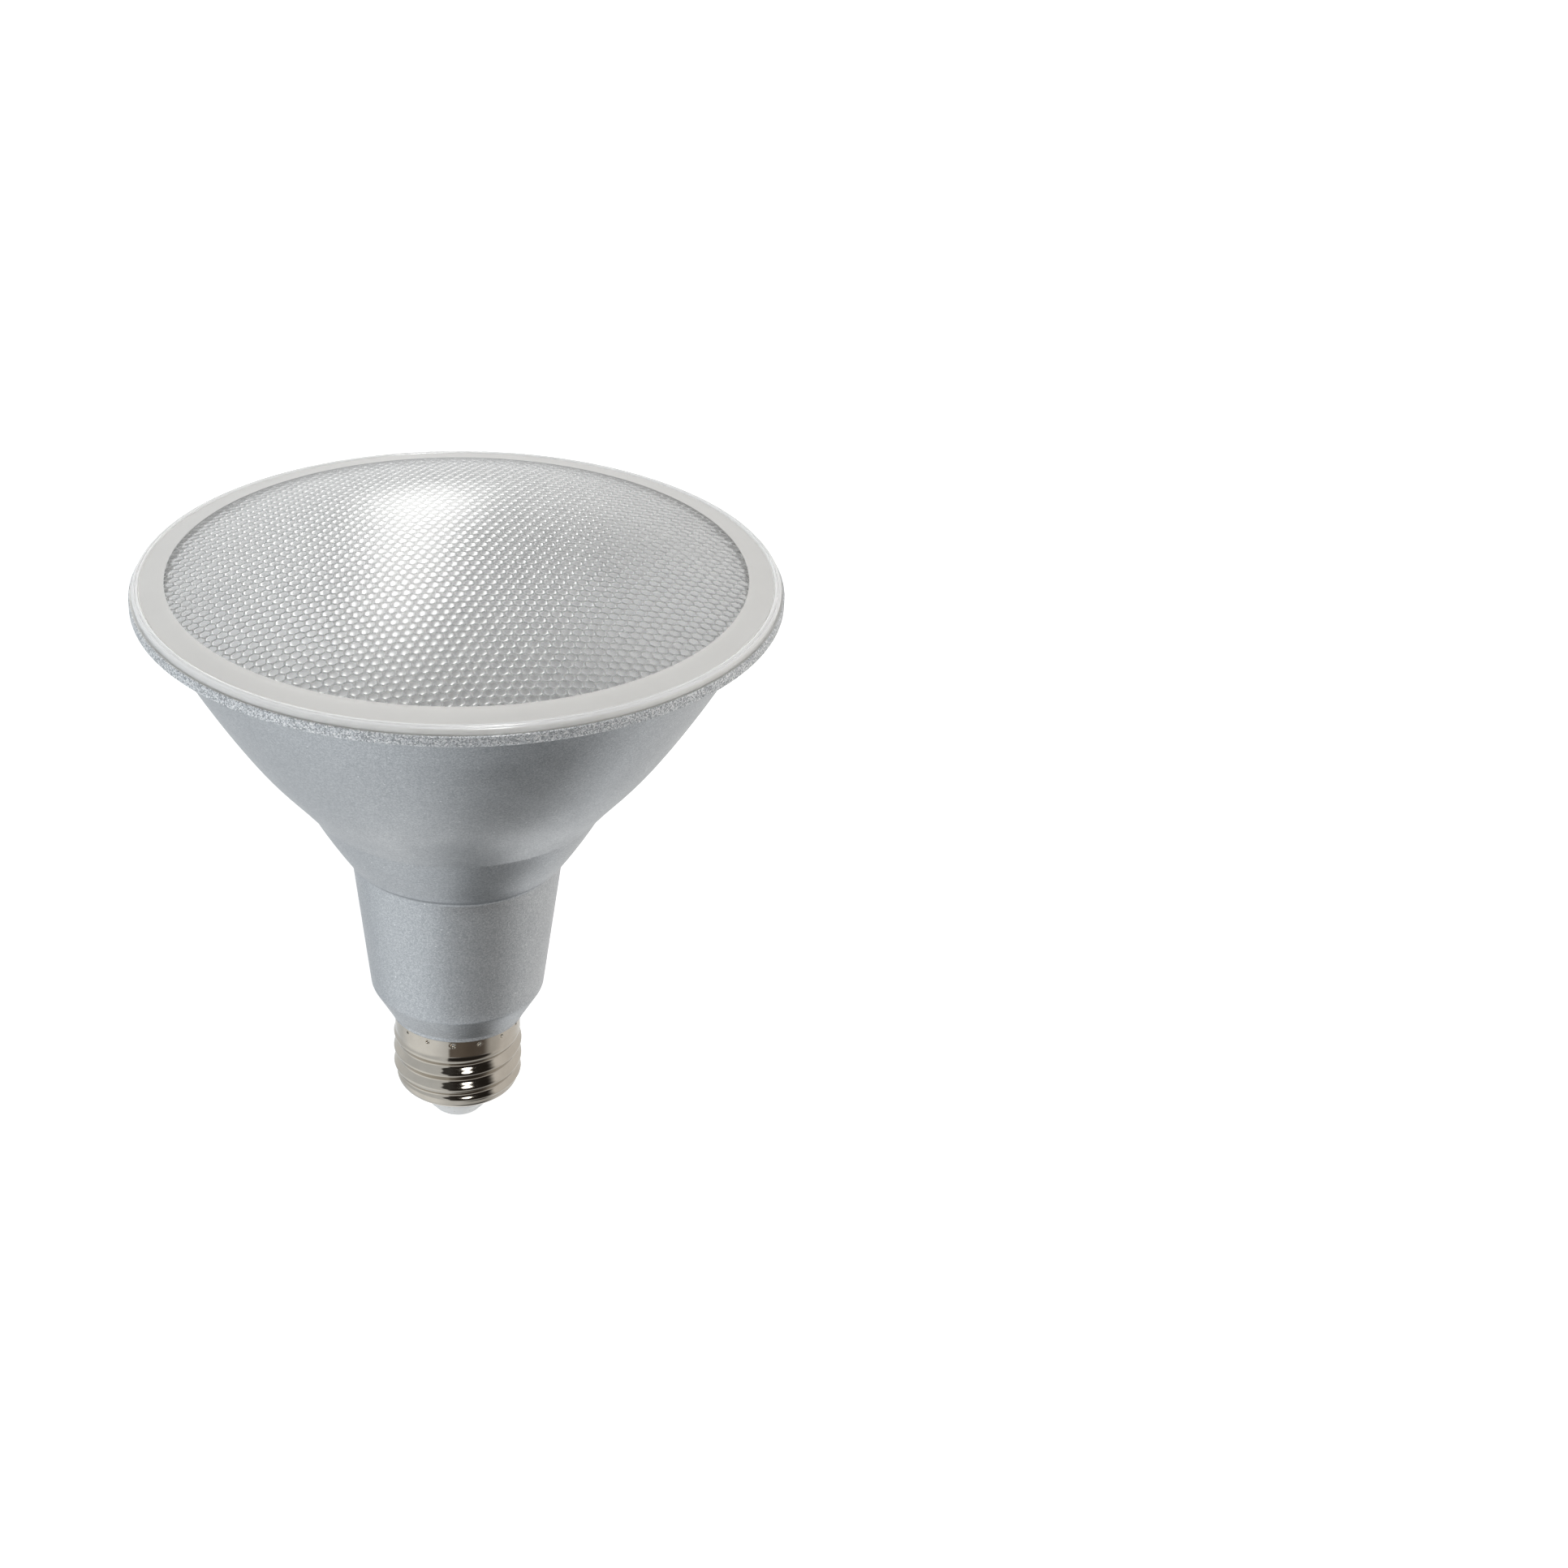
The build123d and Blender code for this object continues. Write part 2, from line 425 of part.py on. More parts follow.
# ---------------------------------------------------------------- write one file for each piece
os.makedirs("parts", exist_ok=True)
for name, shape in parts.items():
    solids = shape.solids()
    keep = solids[0] if len(solids) == 1 else Compound(children=list(solids))
    export_step(keep, "parts/" + name + ".step")
    print(name, len(solids), round(sum(s.volume for s in solids), 1))
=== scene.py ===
import math
import random

import bpy
import numpy as np
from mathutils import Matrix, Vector


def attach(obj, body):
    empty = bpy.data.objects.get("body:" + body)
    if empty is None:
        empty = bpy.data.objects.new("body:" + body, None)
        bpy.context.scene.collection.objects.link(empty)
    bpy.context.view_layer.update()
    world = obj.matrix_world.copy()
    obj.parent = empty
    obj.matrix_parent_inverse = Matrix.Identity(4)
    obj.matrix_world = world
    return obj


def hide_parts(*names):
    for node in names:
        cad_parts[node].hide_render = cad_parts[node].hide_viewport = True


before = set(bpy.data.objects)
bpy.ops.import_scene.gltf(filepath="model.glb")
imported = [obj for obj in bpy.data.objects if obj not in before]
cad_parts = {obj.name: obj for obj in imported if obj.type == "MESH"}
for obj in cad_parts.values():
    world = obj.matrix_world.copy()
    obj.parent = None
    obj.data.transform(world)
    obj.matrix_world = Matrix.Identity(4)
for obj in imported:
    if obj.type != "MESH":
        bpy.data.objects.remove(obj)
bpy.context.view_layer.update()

random.seed(38)
rng = np.random.default_rng(38)
TAU = 2 * math.pi
MM = 0.001


# ================================================================ mesh helpers (millimetres in, metres out)
def piece(name, verts, faces, mats, which=None, sharp=32.0, nodes=()):
    """A closed mesh piece with its materials, smooth shaded with sharp edges where it turns by more than the angle."""
    me = bpy.data.meshes.new(name)
    me.from_pydata((np.asarray(verts, float) * MM).tolist(), [], faces)
    for m in mats:
        me.materials.append(m)
    if which is not None:
        me.polygons.foreach_set("material_index", np.asarray(which, np.int32))
    me.polygons.foreach_set("use_smooth", np.ones(len(me.polygons), bool))
    me.validate()
    me.update()
    me.set_sharp_from_angle(angle=math.radians(sharp))
    ob = bpy.data.objects.new(name, me)
    bpy.context.scene.collection.objects.link(ob)
    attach(ob, "root")
    if nodes:
        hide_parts(*nodes)
    return ob


def revolve(outline, seg, closed=True, start=0.0):
    """Vertices, faces and the outline step of each face for a turned solid. The outline runs counterclockwise in (r, z)."""
    verts, faces, step, ring = [], [], [], []
    ang = [start + TAU * j / seg for j in range(seg)]
    for r, z in outline:
        if r < 1e-9:
            ring.append([len(verts)] * seg)
            verts.append((0.0, 0.0, z))
        else:
            ring.append(list(range(len(verts), len(verts) + seg)))
            verts.extend((r * math.cos(a), r * math.sin(a), z) for a in ang)
    n = len(outline)
    for i in range(n if closed else n - 1):
        a, b = ring[i], ring[(i + 1) % n]
        if a[0] == a[-1] and b[0] == b[-1]:
            continue
        for j in range(seg):
            k = (j + 1) % seg
            f = [a[j], a[k], b[k], b[j]]
            f = [v for q, v in enumerate(f) if v != f[q - 1]]
            faces.append(f)
            step.append(i)
    return verts, faces, step


def arc(a, m, b, n=6):
    """Points after a, up to b, on the circle through the three points."""
    (ax, ay), (mx, my), (bx, by) = a, m, b
    d = 2 * (ax * (my - by) + mx * (by - ay) + bx * (ay - my))
    sa, sm, sb = ax * ax + ay * ay, mx * mx + my * my, bx * bx + by * by
    cx = (sa * (my - by) + sm * (by - ay) + sb * (ay - my)) / d
    cy = (sa * (bx - mx) + sm * (ax - bx) + sb * (mx - ax)) / d
    r = math.hypot(ax - cx, ay - cy)
    ta, tm, tb = (math.atan2(y - cy, x - cx) for x, y in (a, m, b))
    turn = (tb - ta) % TAU
    if (tm - ta) % TAU > turn:
        turn -= TAU
    return [(cx + r * math.cos(ta + turn * k / n), cy + r * math.sin(ta + turn * k / n)) for k in range(1, n + 1)]


def spline(points, step=1.0):
    """Points after the first on the natural cubic spline through all of them."""
    p = np.array(points, float)
    t = np.r_[0, np.cumsum(np.hypot(*np.diff(p, axis=0).T))]
    n, h = len(t), np.diff(t)
    A, B = np.eye(n), np.zeros((n, 2))
    for i in range(1, n - 1):
        A[i, i - 1:i + 2] = h[i - 1], 2 * (h[i - 1] + h[i]), h[i]
        B[i] = 6 * ((p[i + 1] - p[i]) / h[i] - (p[i] - p[i - 1]) / h[i - 1])
    M = np.linalg.solve(A, B)
    out = []
    for i in range(n - 1):
        q = max(1, round(h[i] / step))
        for k in range(1, q + 1):
            u = h[i] * k / q
            a, b = (h[i] - u) / h[i], u / h[i]
            v = a * p[i] + b * p[i + 1] + ((a ** 3 - a) * M[i] + (b ** 3 - b) * M[i + 1]) * h[i] ** 2 / 6
            out.append((float(v[0]), float(v[1])))
    return out


def run(start, *steps):
    """An outline from points, ("arc", mid, end, pieces or none), ("spline", points) and ("line", end, pieces)."""
    out = [start]
    for s in steps:
        if s[0] == "arc":
            out += arc(out[-1], s[1], s[2], *s[3:])
        elif s[0] == "spline":
            out += spline([out[-1]] + list(s[1]))
        elif s[0] == "line":
            (ax, ay), (bx, by), n = out[-1], s[1], s[2]
            out += [(ax + (bx - ax) * k / n, ay + (by - ay) * k / n) for k in range(1, n + 1)]
        else:
            out.append(s)
    return out


def ease(t):
    t = min(1.0, max(0.0, t))
    return t * t * (3 - 2 * t)


# ================================================================ material helpers
def new_mat(name):
    m = bpy.data.materials.new(name)
    m.use_nodes = True
    nt = m.node_tree
    nt.nodes.clear()
    out = nt.nodes.new("ShaderNodeOutputMaterial")
    b = nt.nodes.new("ShaderNodeBsdfPrincipled")
    nt.links.new(b.outputs[0], out.inputs[0])
    return m, nt, b


def obj_coord(nt):
    return nt.nodes.new("ShaderNodeTexCoord").outputs["Object"]


def noise(nt, vec, scale, detail=3.0, rough=0.55):
    n = nt.nodes.new("ShaderNodeTexNoise")
    n.inputs["Scale"].default_value = scale
    n.inputs["Detail"].default_value = detail
    n.inputs["Roughness"].default_value = rough
    nt.links.new(vec, n.inputs["Vector"])
    return n.outputs["Fac"]


def cells(nt, vec, scale, feature="F1", out="Color"):
    n = nt.nodes.new("ShaderNodeTexVoronoi")
    n.feature = feature
    n.inputs["Scale"].default_value = scale
    nt.links.new(vec, n.inputs["Vector"])
    return n.outputs[out]


def ramp(nt, fac, stops):
    n = nt.nodes.new("ShaderNodeValToRGB")
    el = n.color_ramp.elements
    while len(el) < len(stops):
        el.new(0.5)
    for e, (pos, col) in zip(el, stops):
        e.position = pos
        e.color = (*col, 1.0) if len(col) == 3 else col
    nt.links.new(fac, n.inputs[0])
    return n.outputs[0]


def remap(nt, fac, a, b, c, d, smooth=False):
    n = nt.nodes.new("ShaderNodeMapRange")
    if smooth:
        n.interpolation_type = "SMOOTHSTEP"
    for k, v in zip(("From Min", "From Max", "To Min", "To Max"), (a, b, c, d)):
        n.inputs[k].default_value = v
    nt.links.new(fac, n.inputs["Value"])
    return n.outputs["Result"]


def calc(nt, op, a, b=None, clamp=False):
    n = nt.nodes.new("ShaderNodeMath")
    n.operation = op
    n.use_clamp = clamp
    for k, v in enumerate((a, b)):
        if v is None:
            continue
        if isinstance(v, (int, float)):
            n.inputs[k].default_value = v
        else:
            nt.links.new(v, n.inputs[k])
    return n.outputs[0]


def blend_rgb(nt, fac, a, b, how="MIX"):
    n = nt.nodes.new("ShaderNodeMix")
    n.data_type = "RGBA"
    n.blend_type = how
    for sock, v in ((n.inputs[0], fac), (n.inputs[6], a), (n.inputs[7], b)):
        if isinstance(v, (int, float)):
            sock.default_value = v
        elif isinstance(v, tuple):
            sock.default_value = (*v, 1.0)
        else:
            nt.links.new(v, sock)
    return n.outputs[2]


def bump(nt, height, dist, strength=1.0, before=None):
    n = nt.nodes.new("ShaderNodeBump")
    n.inputs["Strength"].default_value = strength
    n.inputs["Distance"].default_value = dist
    nt.links.new(height, n.inputs["Height"])
    if before is not None:
        nt.links.new(before, n.inputs["Normal"])
    return n.outputs["Normal"]


def plain(name, col, rough, metal=0.0, grain=900.0, vary=0.10, rvary=0.08, depth=0.00002, ior=1.46, coat=0.0):
    """A moulded, printed or bare metal finish: mottled colour, uneven gloss and a fine relief."""
    m, nt, b = new_mat(name)
    v = obj_coord(nt)
    n1, n2 = noise(nt, v, grain), noise(nt, v, grain / 9.0, 4.0)
    lo, hi = tuple(c * (1 - vary) for c in col), tuple(min(1.0, c * (1 + vary)) for c in col)
    both = calc(nt, "MULTIPLY", calc(nt, "ADD", n1, n2), 0.5)
    nt.links.new(ramp(nt, both, [(0.35, lo), (0.65, hi)]), b.inputs["Base Color"])
    nt.links.new(remap(nt, n2, 0.3, 0.7, max(0.02, rough - rvary), min(1.0, rough + rvary)), b.inputs["Roughness"])
    b.inputs["Metallic"].default_value = metal
    b.inputs["IOR"].default_value = ior
    b.inputs["Coat Weight"].default_value = coat
    nt.links.new(bump(nt, n1, depth), b.inputs["Normal"])
    return m


# ================================================================ camera
cam_data = bpy.data.cameras.new("camera")
cam = bpy.data.objects.new("camera", cam_data)
bpy.context.scene.collection.objects.link(cam)
cam.location = (0.0, -0.4705, 0.34208)
cam.rotation_euler = (math.radians(60.59), 0.0, math.radians(-0.318))
cam_data.sensor_width = 36.0
cam_data.lens = 63.46
cam_data.shift_x = 0.200
cam_data.clip_start, cam_data.clip_end = 0.01, 50.0
bpy.context.scene.camera = cam


# ================================================================ housing: cast aluminium, sprayed with silver flake paint
def paint_mat(name, flake):
    """Silver flake paint. flake is how coarse and open the flakes stand, 0 on the bowl and 1 on the edge of the flange.
    At 1 the colour is also lifted lighter: painted light on the flange's edge, on top of its real coarser flakes.
    """
    m, nt, b = new_mat(name)
    v = obj_coord(nt)
    fine = cells(nt, v, 5200.0 if flake < 0.5 else 4400.0)
    sep = nt.nodes.new("ShaderNodeSeparateColor")
    nt.links.new(fine, sep.inputs[0])
    pick = sep.outputs[0]
    blotch = noise(nt, v, 160.0, 4.0)
    orange = noise(nt, v, 1500.0, 2.0)
    tone = 0.10 if flake < 0.5 else 0.48
    # on the flange's edge the colour is raised 1.42 times: painted light, standing in for light the edge does not get
    # from the lamps
    painted_lift = 1.0 if flake < 0.5 else 1.42
    col = ramp(nt, pick, [(0.0, tuple(c * painted_lift * (1 - tone) for c in (0.40, 0.42, 0.44))), (0.55, tuple(c * painted_lift for c in (0.46, 0.475, 0.49))),
                          (1.0, tuple(min(1.0, c * painted_lift * (1 + tone)) for c in (0.52, 0.535, 0.545)))])
    col = blend_rgb(nt, remap(nt, blotch, 0.3, 0.7, 0.0, 0.12), col, (0.40, 0.41, 0.43))
    # sparse coarser flakes that catch the light
    coarse = cells(nt, v, 1500.0 if flake < 0.5 else 2500.0)
    sep2 = nt.nodes.new("ShaderNodeSeparateColor")
    nt.links.new(coarse, sep2.inputs[0])
    spark = remap(nt, sep2.outputs[1], 0.972 if flake < 0.5 else 0.86, 1.0, 0.0, 1.0)
    dot = cells(nt, v, 1500.0 if flake < 0.5 else 2500.0, out="Distance")
    spark = calc(nt, "MULTIPLY", spark, remap(nt, dot, 0.16, 0.34, 1.0, 0.0, True))
    col = blend_rgb(nt, calc(nt, "MULTIPLY", spark, 0.7 if flake < 0.5 else 0.9, clamp=True), col, (0.86, 0.87, 0.88))
    nt.links.new(col, b.inputs["Base Color"])
    b.inputs["Metallic"].default_value = 0.86 if flake < 0.5 else 0.48
    nt.links.new(remap(nt, blotch, 0.3, 0.7, 0.32 if flake < 0.5 else 0.42, 0.39 if flake < 0.5 else 0.54), b.inputs["Roughness"])
    b.inputs["Coat Weight"].default_value = 0.12
    b.inputs["Coat Roughness"].default_value = 0.32
    n = bump(nt, orange, 0.000010 if flake < 0.5 else 0.000014)
    n = bump(nt, pick, 0.0000032 if flake < 0.5 else 0.000030, before=n)
    nt.links.new(n, b.inputs["Normal"])
    return m


paint = paint_mat("housing_paint", 0.0)
# the flange's edge: coarser flakes, and a colour lifted lighter as painted light
paint_edge_lightened = paint_mat("housing_paint_edge_lightened", 1.0)
bare = plain("housing_bare_inside", (0.62, 0.62, 0.61), 0.45, 1.0, 700.0, 0.12, 0.1, 0.00004)

BOWL = [(33.10, 80.10), (38.10, 86.10), (43.75, 94.10), (48.70, 102.10), (52.90, 109.60), (57.15, 118.40)]


def inward(points, gap):
    out = []
    for k, (r, z) in enumerate(points):
        a, b = points[max(k - 1, 0)], points[min(k + 1, len(points) - 1)]
        m = math.hypot(b[0] - a[0], b[1] - a[1])
        out.append((r - gap * (b[1] - a[1]) / m, z + gap * (b[0] - a[0]) / m))
    return out


skin = [(29.47, 75.60)] + BOWL
low_in, high_in = inward(skin, 2.2), inward(skin, 1.7)


def radius_at(points, z):
    for a, b in zip(points, points[1:]):
        if a[1] <= z <= b[1]:
            return a[0] + (b[0] - a[0]) * (z - a[1]) / (b[1] - a[1])
    return points[-1][0]


shelf_in, shelf_out = radius_at(low_in, 86.5), radius_at(high_in, 86.5)
mouth = radius_at(high_in, 119.1)
outside = run(
    (10.30, 13.00), (11.90, 13.00), (11.90, 20.90), (12.42, 21.30), (12.42, 24.80), (13.00, 24.80),
    ("arc", (13.45, 24.95), (13.70, 25.35)), (13.70, 25.80), ("arc", (13.82, 26.12), (14.20, 26.30)),
    ("line", (17.28, 31.75), 4), ("arc", (17.45, 32.10), (17.56, 32.50)), ("line", (20.90, 61.40), 12),
    ("arc", (21.06, 62.08), (21.46, 62.52)), (22.07, 63.15), ("arc", (22.21, 63.31), (22.31, 63.51)),
    ("arc", (25.97, 69.30), (29.37, 75.42)), ("arc", (29.49, 75.60), (29.63, 75.78)), ("spline", BOWL))
n_bowl = len(outside)
outside += run((57.15, 118.40), (61.00, 118.40), ("arc", (61.21, 118.49), (61.30, 118.70)), (61.30, 120.25),
               ("arc", (61.23, 120.43), (61.05, 120.50)))[1:]
n_edge = len(outside)
inside = run((61.05, 120.50), (59.80, 120.50), (59.80, 119.90), (58.40, 119.90), (58.40, 120.50), (57.00, 120.50), (57.00, 119.10),
             (mouth, 119.10), ("spline", [p for p in high_in if 88.5 < p[1] < 117.1][::-1] + [(shelf_out, 86.5)]), (shelf_in, 86.5),
             ("spline", [low_in[1], (27.42, 76.65)]), (20.30, 64.20), (18.85, 61.50), (15.50, 33.00), (12.46, 27.30), (10.30, 27.30))[1:]
hv, hf, hs = revolve(outside + inside, 320)
# the flange's edge faces take the lightened paint, whose extra lightness is painted light
which = [1 if n_bowl - 2 < i < n_edge - 1 else (0 if 3 < i <= n_bowl - 2 else 2) for i in hs]
piece("housing_shell", hv, hf, [paint, paint_edge_lightened, bare], which, 30.0, ["housing"])


# ================================================================ screw shell: rolled nickel-plated brass sheet
def nickel_mat():
    m, nt, b = new_mat("shell_nickel")
    v = obj_coord(nt)
    sep = nt.nodes.new("ShaderNodeSeparateXYZ")
    nt.links.new(v, sep.inputs[0])
    # drawing marks run round the shell
    comb = nt.nodes.new("ShaderNodeCombineXYZ")
    for k, s in enumerate((0.12, 0.12, 1.0)):
        nt.links.new(calc(nt, "MULTIPLY", sep.outputs[k], s), comb.inputs[k])
    marks = noise(nt, comb.outputs[0], 5200.0, 2.0)
    cloud = noise(nt, v, 260.0, 3.0)
    pits = cells(nt, v, 900.0, out="Distance")
    col = ramp(nt, cloud, [(0.3, (0.45, 0.412, 0.357)), (0.7, (0.505, 0.465, 0.405))])
    nt.links.new(col, b.inputs["Base Color"])
    b.inputs["Metallic"].default_value = 1.0
    r = calc(nt, "ADD", remap(nt, marks, 0.3, 0.7, 0.05, 0.09), remap(nt, cloud, 0.4, 0.75, 0.0, 0.04))
    nt.links.new(r, b.inputs["Roughness"])
    n = bump(nt, marks, 0.0000012)
    n = bump(nt, remap(nt, pits, 0.0, 0.09, 0.0, 1.0), 0.0000022, before=n)
    nt.links.new(n, b.inputs["Normal"])
    return m


nickel = nickel_mat()
CREST_Z, PITCH = 13.78, 3.629


def thread_r(turn, z):
    wave = 0.41 * ease(z - 9.5) * ease((21.2 - z) / 2.6)
    base = 12.74 + (12.55 - 12.74) * (1 - ease(z - 9.5)) + (12.80 - 12.74) * ease((z - 18.6) / 2.6)
    ph = TAU * (z - CREST_Z) / PITCH - turn
    c = math.cos(ph)
    return base + wave * (c + 0.07 * math.cos(3 * ph)) / 1.07


STAKES = [math.radians(-90 - 4.3 + 24 * k) for k in range(15)]
turns = []
for s in STAKES:
    turns += [s + math.radians(d) for d in np.linspace(-2.6, 2.6, 15)]
    turns += [s + math.radians(d) for d in np.linspace(2.6, 21.4, 11)[1:-1]]
turns = sorted(t % TAU for t in turns)
rows_out = []
for k in range(13):
    rows_out.append(("lip", math.pi / 2 * k / 13))
rows_out += [("z", z) for z in np.linspace(9.5, 21.3, 112)]
rows_out += [("z", z) for z in (21.7, 22.2, 22.6, 22.9)]
rows_out += [("z", z) for z in np.linspace(23.05, 24.15, 19)]
rows_out += [("z", z) for z in (24.35, 24.6, 24.76, 24.80)]


def sheet_point(row, turn, inside):
    kind, q = row
    if kind == "lip":
        la, lb = 12.55 - 9.50, 9.50 - 7.05
        r, z = 9.50 + la * math.sin(q), 9.50 - lb * math.cos(q)
        if inside:
            nr, nz = math.sin(q) / la, -math.cos(q) / lb
            m = math.hypot(nr, nz)
            r, z = r - 0.30 * nr / m, z - 0.30 * nz / m
        return r, z
    z = q
    r = thread_r(turn, z)
    if inside:
        k1 = (thread_r(turn, z + 2e-3) - thread_r(turn, z - 2e-3)) / 4e-3
        r -= 0.30 * math.hypot(1, k1)
    for i, s in enumerate(STAKES):
        d = (turn - s + math.pi) % TAU - math.pi
        if abs(d) > 0.06 or abs(z - 23.6) > 0.75:
            continue
        big = 1.28 if i == 0 else 1.0 + 0.10 * math.sin(3.7 * i)
        dx, dz = d * 12.8, (z - 23.6) + (0.12 * d * 12.8 if i == 0 else 0.0)
        q = math.hypot(dx, dz) / (0.40 * big)
        if q < 1.0:
            r -= 0.33 * big * math.sqrt(1 - q * q) * ease((1 - q) / 0.25)
        elif q < 1.7:
            r += 0.012 * math.sin(math.pi * (q - 1) / 0.7)
    return r, z


rows_in = [("lip", math.pi / 2 * k / 5) for k in range(5)] + [("z", z) for z in np.linspace(9.5, 21.3, 46)] + [("z", 22.9)] + \
          [("z", z) for z in np.linspace(23.1, 24.1, 9)] + [("z", 24.80)]
loops = [(r, False) for r in rows_out] + [(r, True) for r in rows_in[::-1]]
sv, sf = [], []
nt_ = len(turns)
for row, inner in loops:
    for t in turns:
        r, z = sheet_point(row, t, inner)
        if row == ("z", 24.80) and not inner:
            r -= 0.05
        sv.append((r * math.cos(t), r * math.sin(t), z))
for i in range(len(loops)):
    a, b = i * nt_, ((i + 1) % len(loops)) * nt_
    for j in range(nt_):
        k = (j + 1) % nt_
        sf.append((a + j, a + k, b + k, b + j))
piece("screw_shell_sheet", sv, sf, [nickel], None, 40.0, ["screw_shell"])


# ================================================================ insulator and centre contact
def insulator_mat():
    m, nt, b = new_mat("insulator_glass")
    v = obj_coord(nt)
    n1, n2 = noise(nt, v, 420.0, 4.0), noise(nt, v, 2600.0, 2.0)
    nt.links.new(ramp(nt, n1, [(0.3, (0.70, 0.71, 0.71)), (0.7, (0.78, 0.785, 0.78))]), b.inputs["Base Color"])
    nt.links.new(remap(nt, n1, 0.3, 0.7, 0.24, 0.38), b.inputs["Roughness"])
    b.inputs["IOR"].default_value = 1.5
    b.inputs["Subsurface Weight"].default_value = 0.12
    b.inputs["Subsurface Radius"].default_value = (0.6, 0.6, 0.6)
    b.inputs["Subsurface Scale"].default_value = 0.001
    b.inputs["Coat Weight"].default_value = 0.2
    b.inputs["Coat Roughness"].default_value = 0.15
    nt.links.new(bump(nt, n2, 0.000012), b.inputs["Normal"])
    return m


ins = run((1.60, 0.80), (4.65, 0.80), ("arc", (4.80, 0.84), (4.92, 0.93)),
          ("spline", [(5.90, 2.10), (6.70, 3.10), (7.50, 4.10), (8.45, 5.30), (9.10, 6.40)]),
          (9.12, 7.60), (11.30, 9.20), (11.75, 10.00), (11.75, 13.00), (9.30, 13.00), (9.30, 10.20), (7.40, 7.90), (3.40, 4.20),
          (3.00, 4.30), (2.60, 6.20), (1.60, 6.20))
iv, if_, _ = revolve(ins, 192)
piece("insulator_body", iv, if_, [insulator_mat()], None, 40.0, ["base_insulator"])

tin = plain("contact_tinned", (0.70, 0.69, 0.66), 0.26, 1.0, 1600.0, 0.10, 0.10, 0.000012)
con = run((0.0, 0.0), (0.55, 0.0), ("line", (2.55, 0.0), 5), ("arc", (2.87, 0.14), (3.00, 0.45)), (3.00, 0.80), (1.55, 0.80),
          (1.55, 7.00), ("arc", (1.46, 7.21), (1.25, 7.30)), (0.0, 7.30))
cv, cf, _ = revolve(con, 96, closed=False)
# the solder run over the contact's face leaves it slightly uneven
cv = [(x, y, z + (0.03 * (1 + math.sin(1.9 * x + 0.7) * math.cos(1.4 * y)) * ease(1 - math.hypot(x, y) / 2.5)) if z < 0.01 else z)
      for x, y, z in cv]
piece("contact_rivet", cv, cf, [tin], None, 35.0, ["centre_contact"])


# ================================================================ lens: clear dome with moulded hexagonal lenslets on its inner face
DOME_R, R_IN, HEX_R = 203.0, 200.7, 54.60
centre_z = 122.50 - DOME_R * math.cos(math.asin(55.5 / DOME_R))


def dome(r, R):
    return centre_z + math.sqrt(R * R - r * r)


def clear_mat():
    m, nt, b = new_mat("lens_clear_outer")
    v = obj_coord(nt)
    n1 = noise(nt, v, 90.0, 2.0)
    b.inputs["Base Color"].default_value = (0.96, 0.965, 0.97, 1.0)
    nt.links.new(remap(nt, noise(nt, v, 300.0, 3.0), 0.35, 0.75, 0.03, 0.07), b.inputs["Roughness"])
    b.inputs["IOR"].default_value = 1.46
    b.inputs["Specular IOR Level"].default_value = 0.06
    b.inputs["Transmission Weight"].default_value = 1.0
    nt.links.new(bump(nt, n1, 0.00002), b.inputs["Normal"])
    return m


def lenslet_mat():
    m, nt, b = new_mat("lens_lenslets")
    v = obj_coord(nt)
    n1 = noise(nt, v, 60.0, 2.0)
    nt.links.new(ramp(nt, n1, [(0.3, (0.85, 0.85, 0.84)), (0.7, (0.90, 0.90, 0.89))]), b.inputs["Base Color"])
    b.inputs["Metallic"].default_value = 0.55
    nt.links.new(remap(nt, n1, 0.3, 0.7, 0.07, 0.10), b.inputs["Roughness"])
    b.inputs["IOR"].default_value = 1.46
    b.inputs["Transmission Weight"].default_value = 0.40
    return m


def border_mat():
    """The rounded edges between the lenslets, which scatter light."""
    m, nt, b = new_mat("lens_lenslet_edges")
    v = obj_coord(nt)
    n1 = noise(nt, v, 60.0, 2.0)
    nt.links.new(ramp(nt, n1, [(0.3, (0.95, 0.95, 0.94)), (0.7, (0.99, 0.99, 0.98))]), b.inputs["Base Color"])
    nt.links.new(remap(nt, n1, 0.3, 0.7, 0.30, 0.38), b.inputs["Roughness"])
    b.inputs["IOR"].default_value = 1.46
    b.inputs["Transmission Weight"].default_value = 0.04
    return m


def frosted_mat():
    m, nt, b = new_mat("lens_frosted_rim")
    v = obj_coord(nt)
    n1, n2 = noise(nt, v, 1800.0, 3.0), noise(nt, v, 70.0, 3.0)
    nt.links.new(ramp(nt, n2, [(0.3, (0.86, 0.85, 0.825)), (0.7, (0.90, 0.89, 0.865))]), b.inputs["Base Color"])
    nt.links.new(remap(nt, n2, 0.3, 0.7, 0.30, 0.42), b.inputs["Roughness"])
    b.inputs["IOR"].default_value = 1.46
    b.inputs["Transmission Weight"].default_value = 0.15
    nt.links.new(bump(nt, n1, 0.000006), b.inputs["Normal"])
    return m


def bead_mat(name, lo, hi):
    m, nt, b = new_mat(name)
    v = obj_coord(nt)
    n1 = noise(nt, v, 240.0, 2.0)
    nt.links.new(ramp(nt, n1, [(0.3, lo), (0.7, hi)]), b.inputs["Base Color"])
    nt.links.new(remap(nt, n1, 0.3, 0.7, 0.06, 0.12), b.inputs["Roughness"])
    b.inputs["IOR"].default_value = 1.5
    b.inputs["Transmission Weight"].default_value = 0.04
    b.inputs["Subsurface Weight"].default_value = 0.7
    b.inputs["Subsurface Radius"].default_value = (1.0, 1.0, 1.0)
    b.inputs["Subsurface Scale"].default_value = 0.0012
    b.inputs["Coat Weight"].default_value = 1.0
    b.inputs["Coat Roughness"].default_value = 0.10
    return m


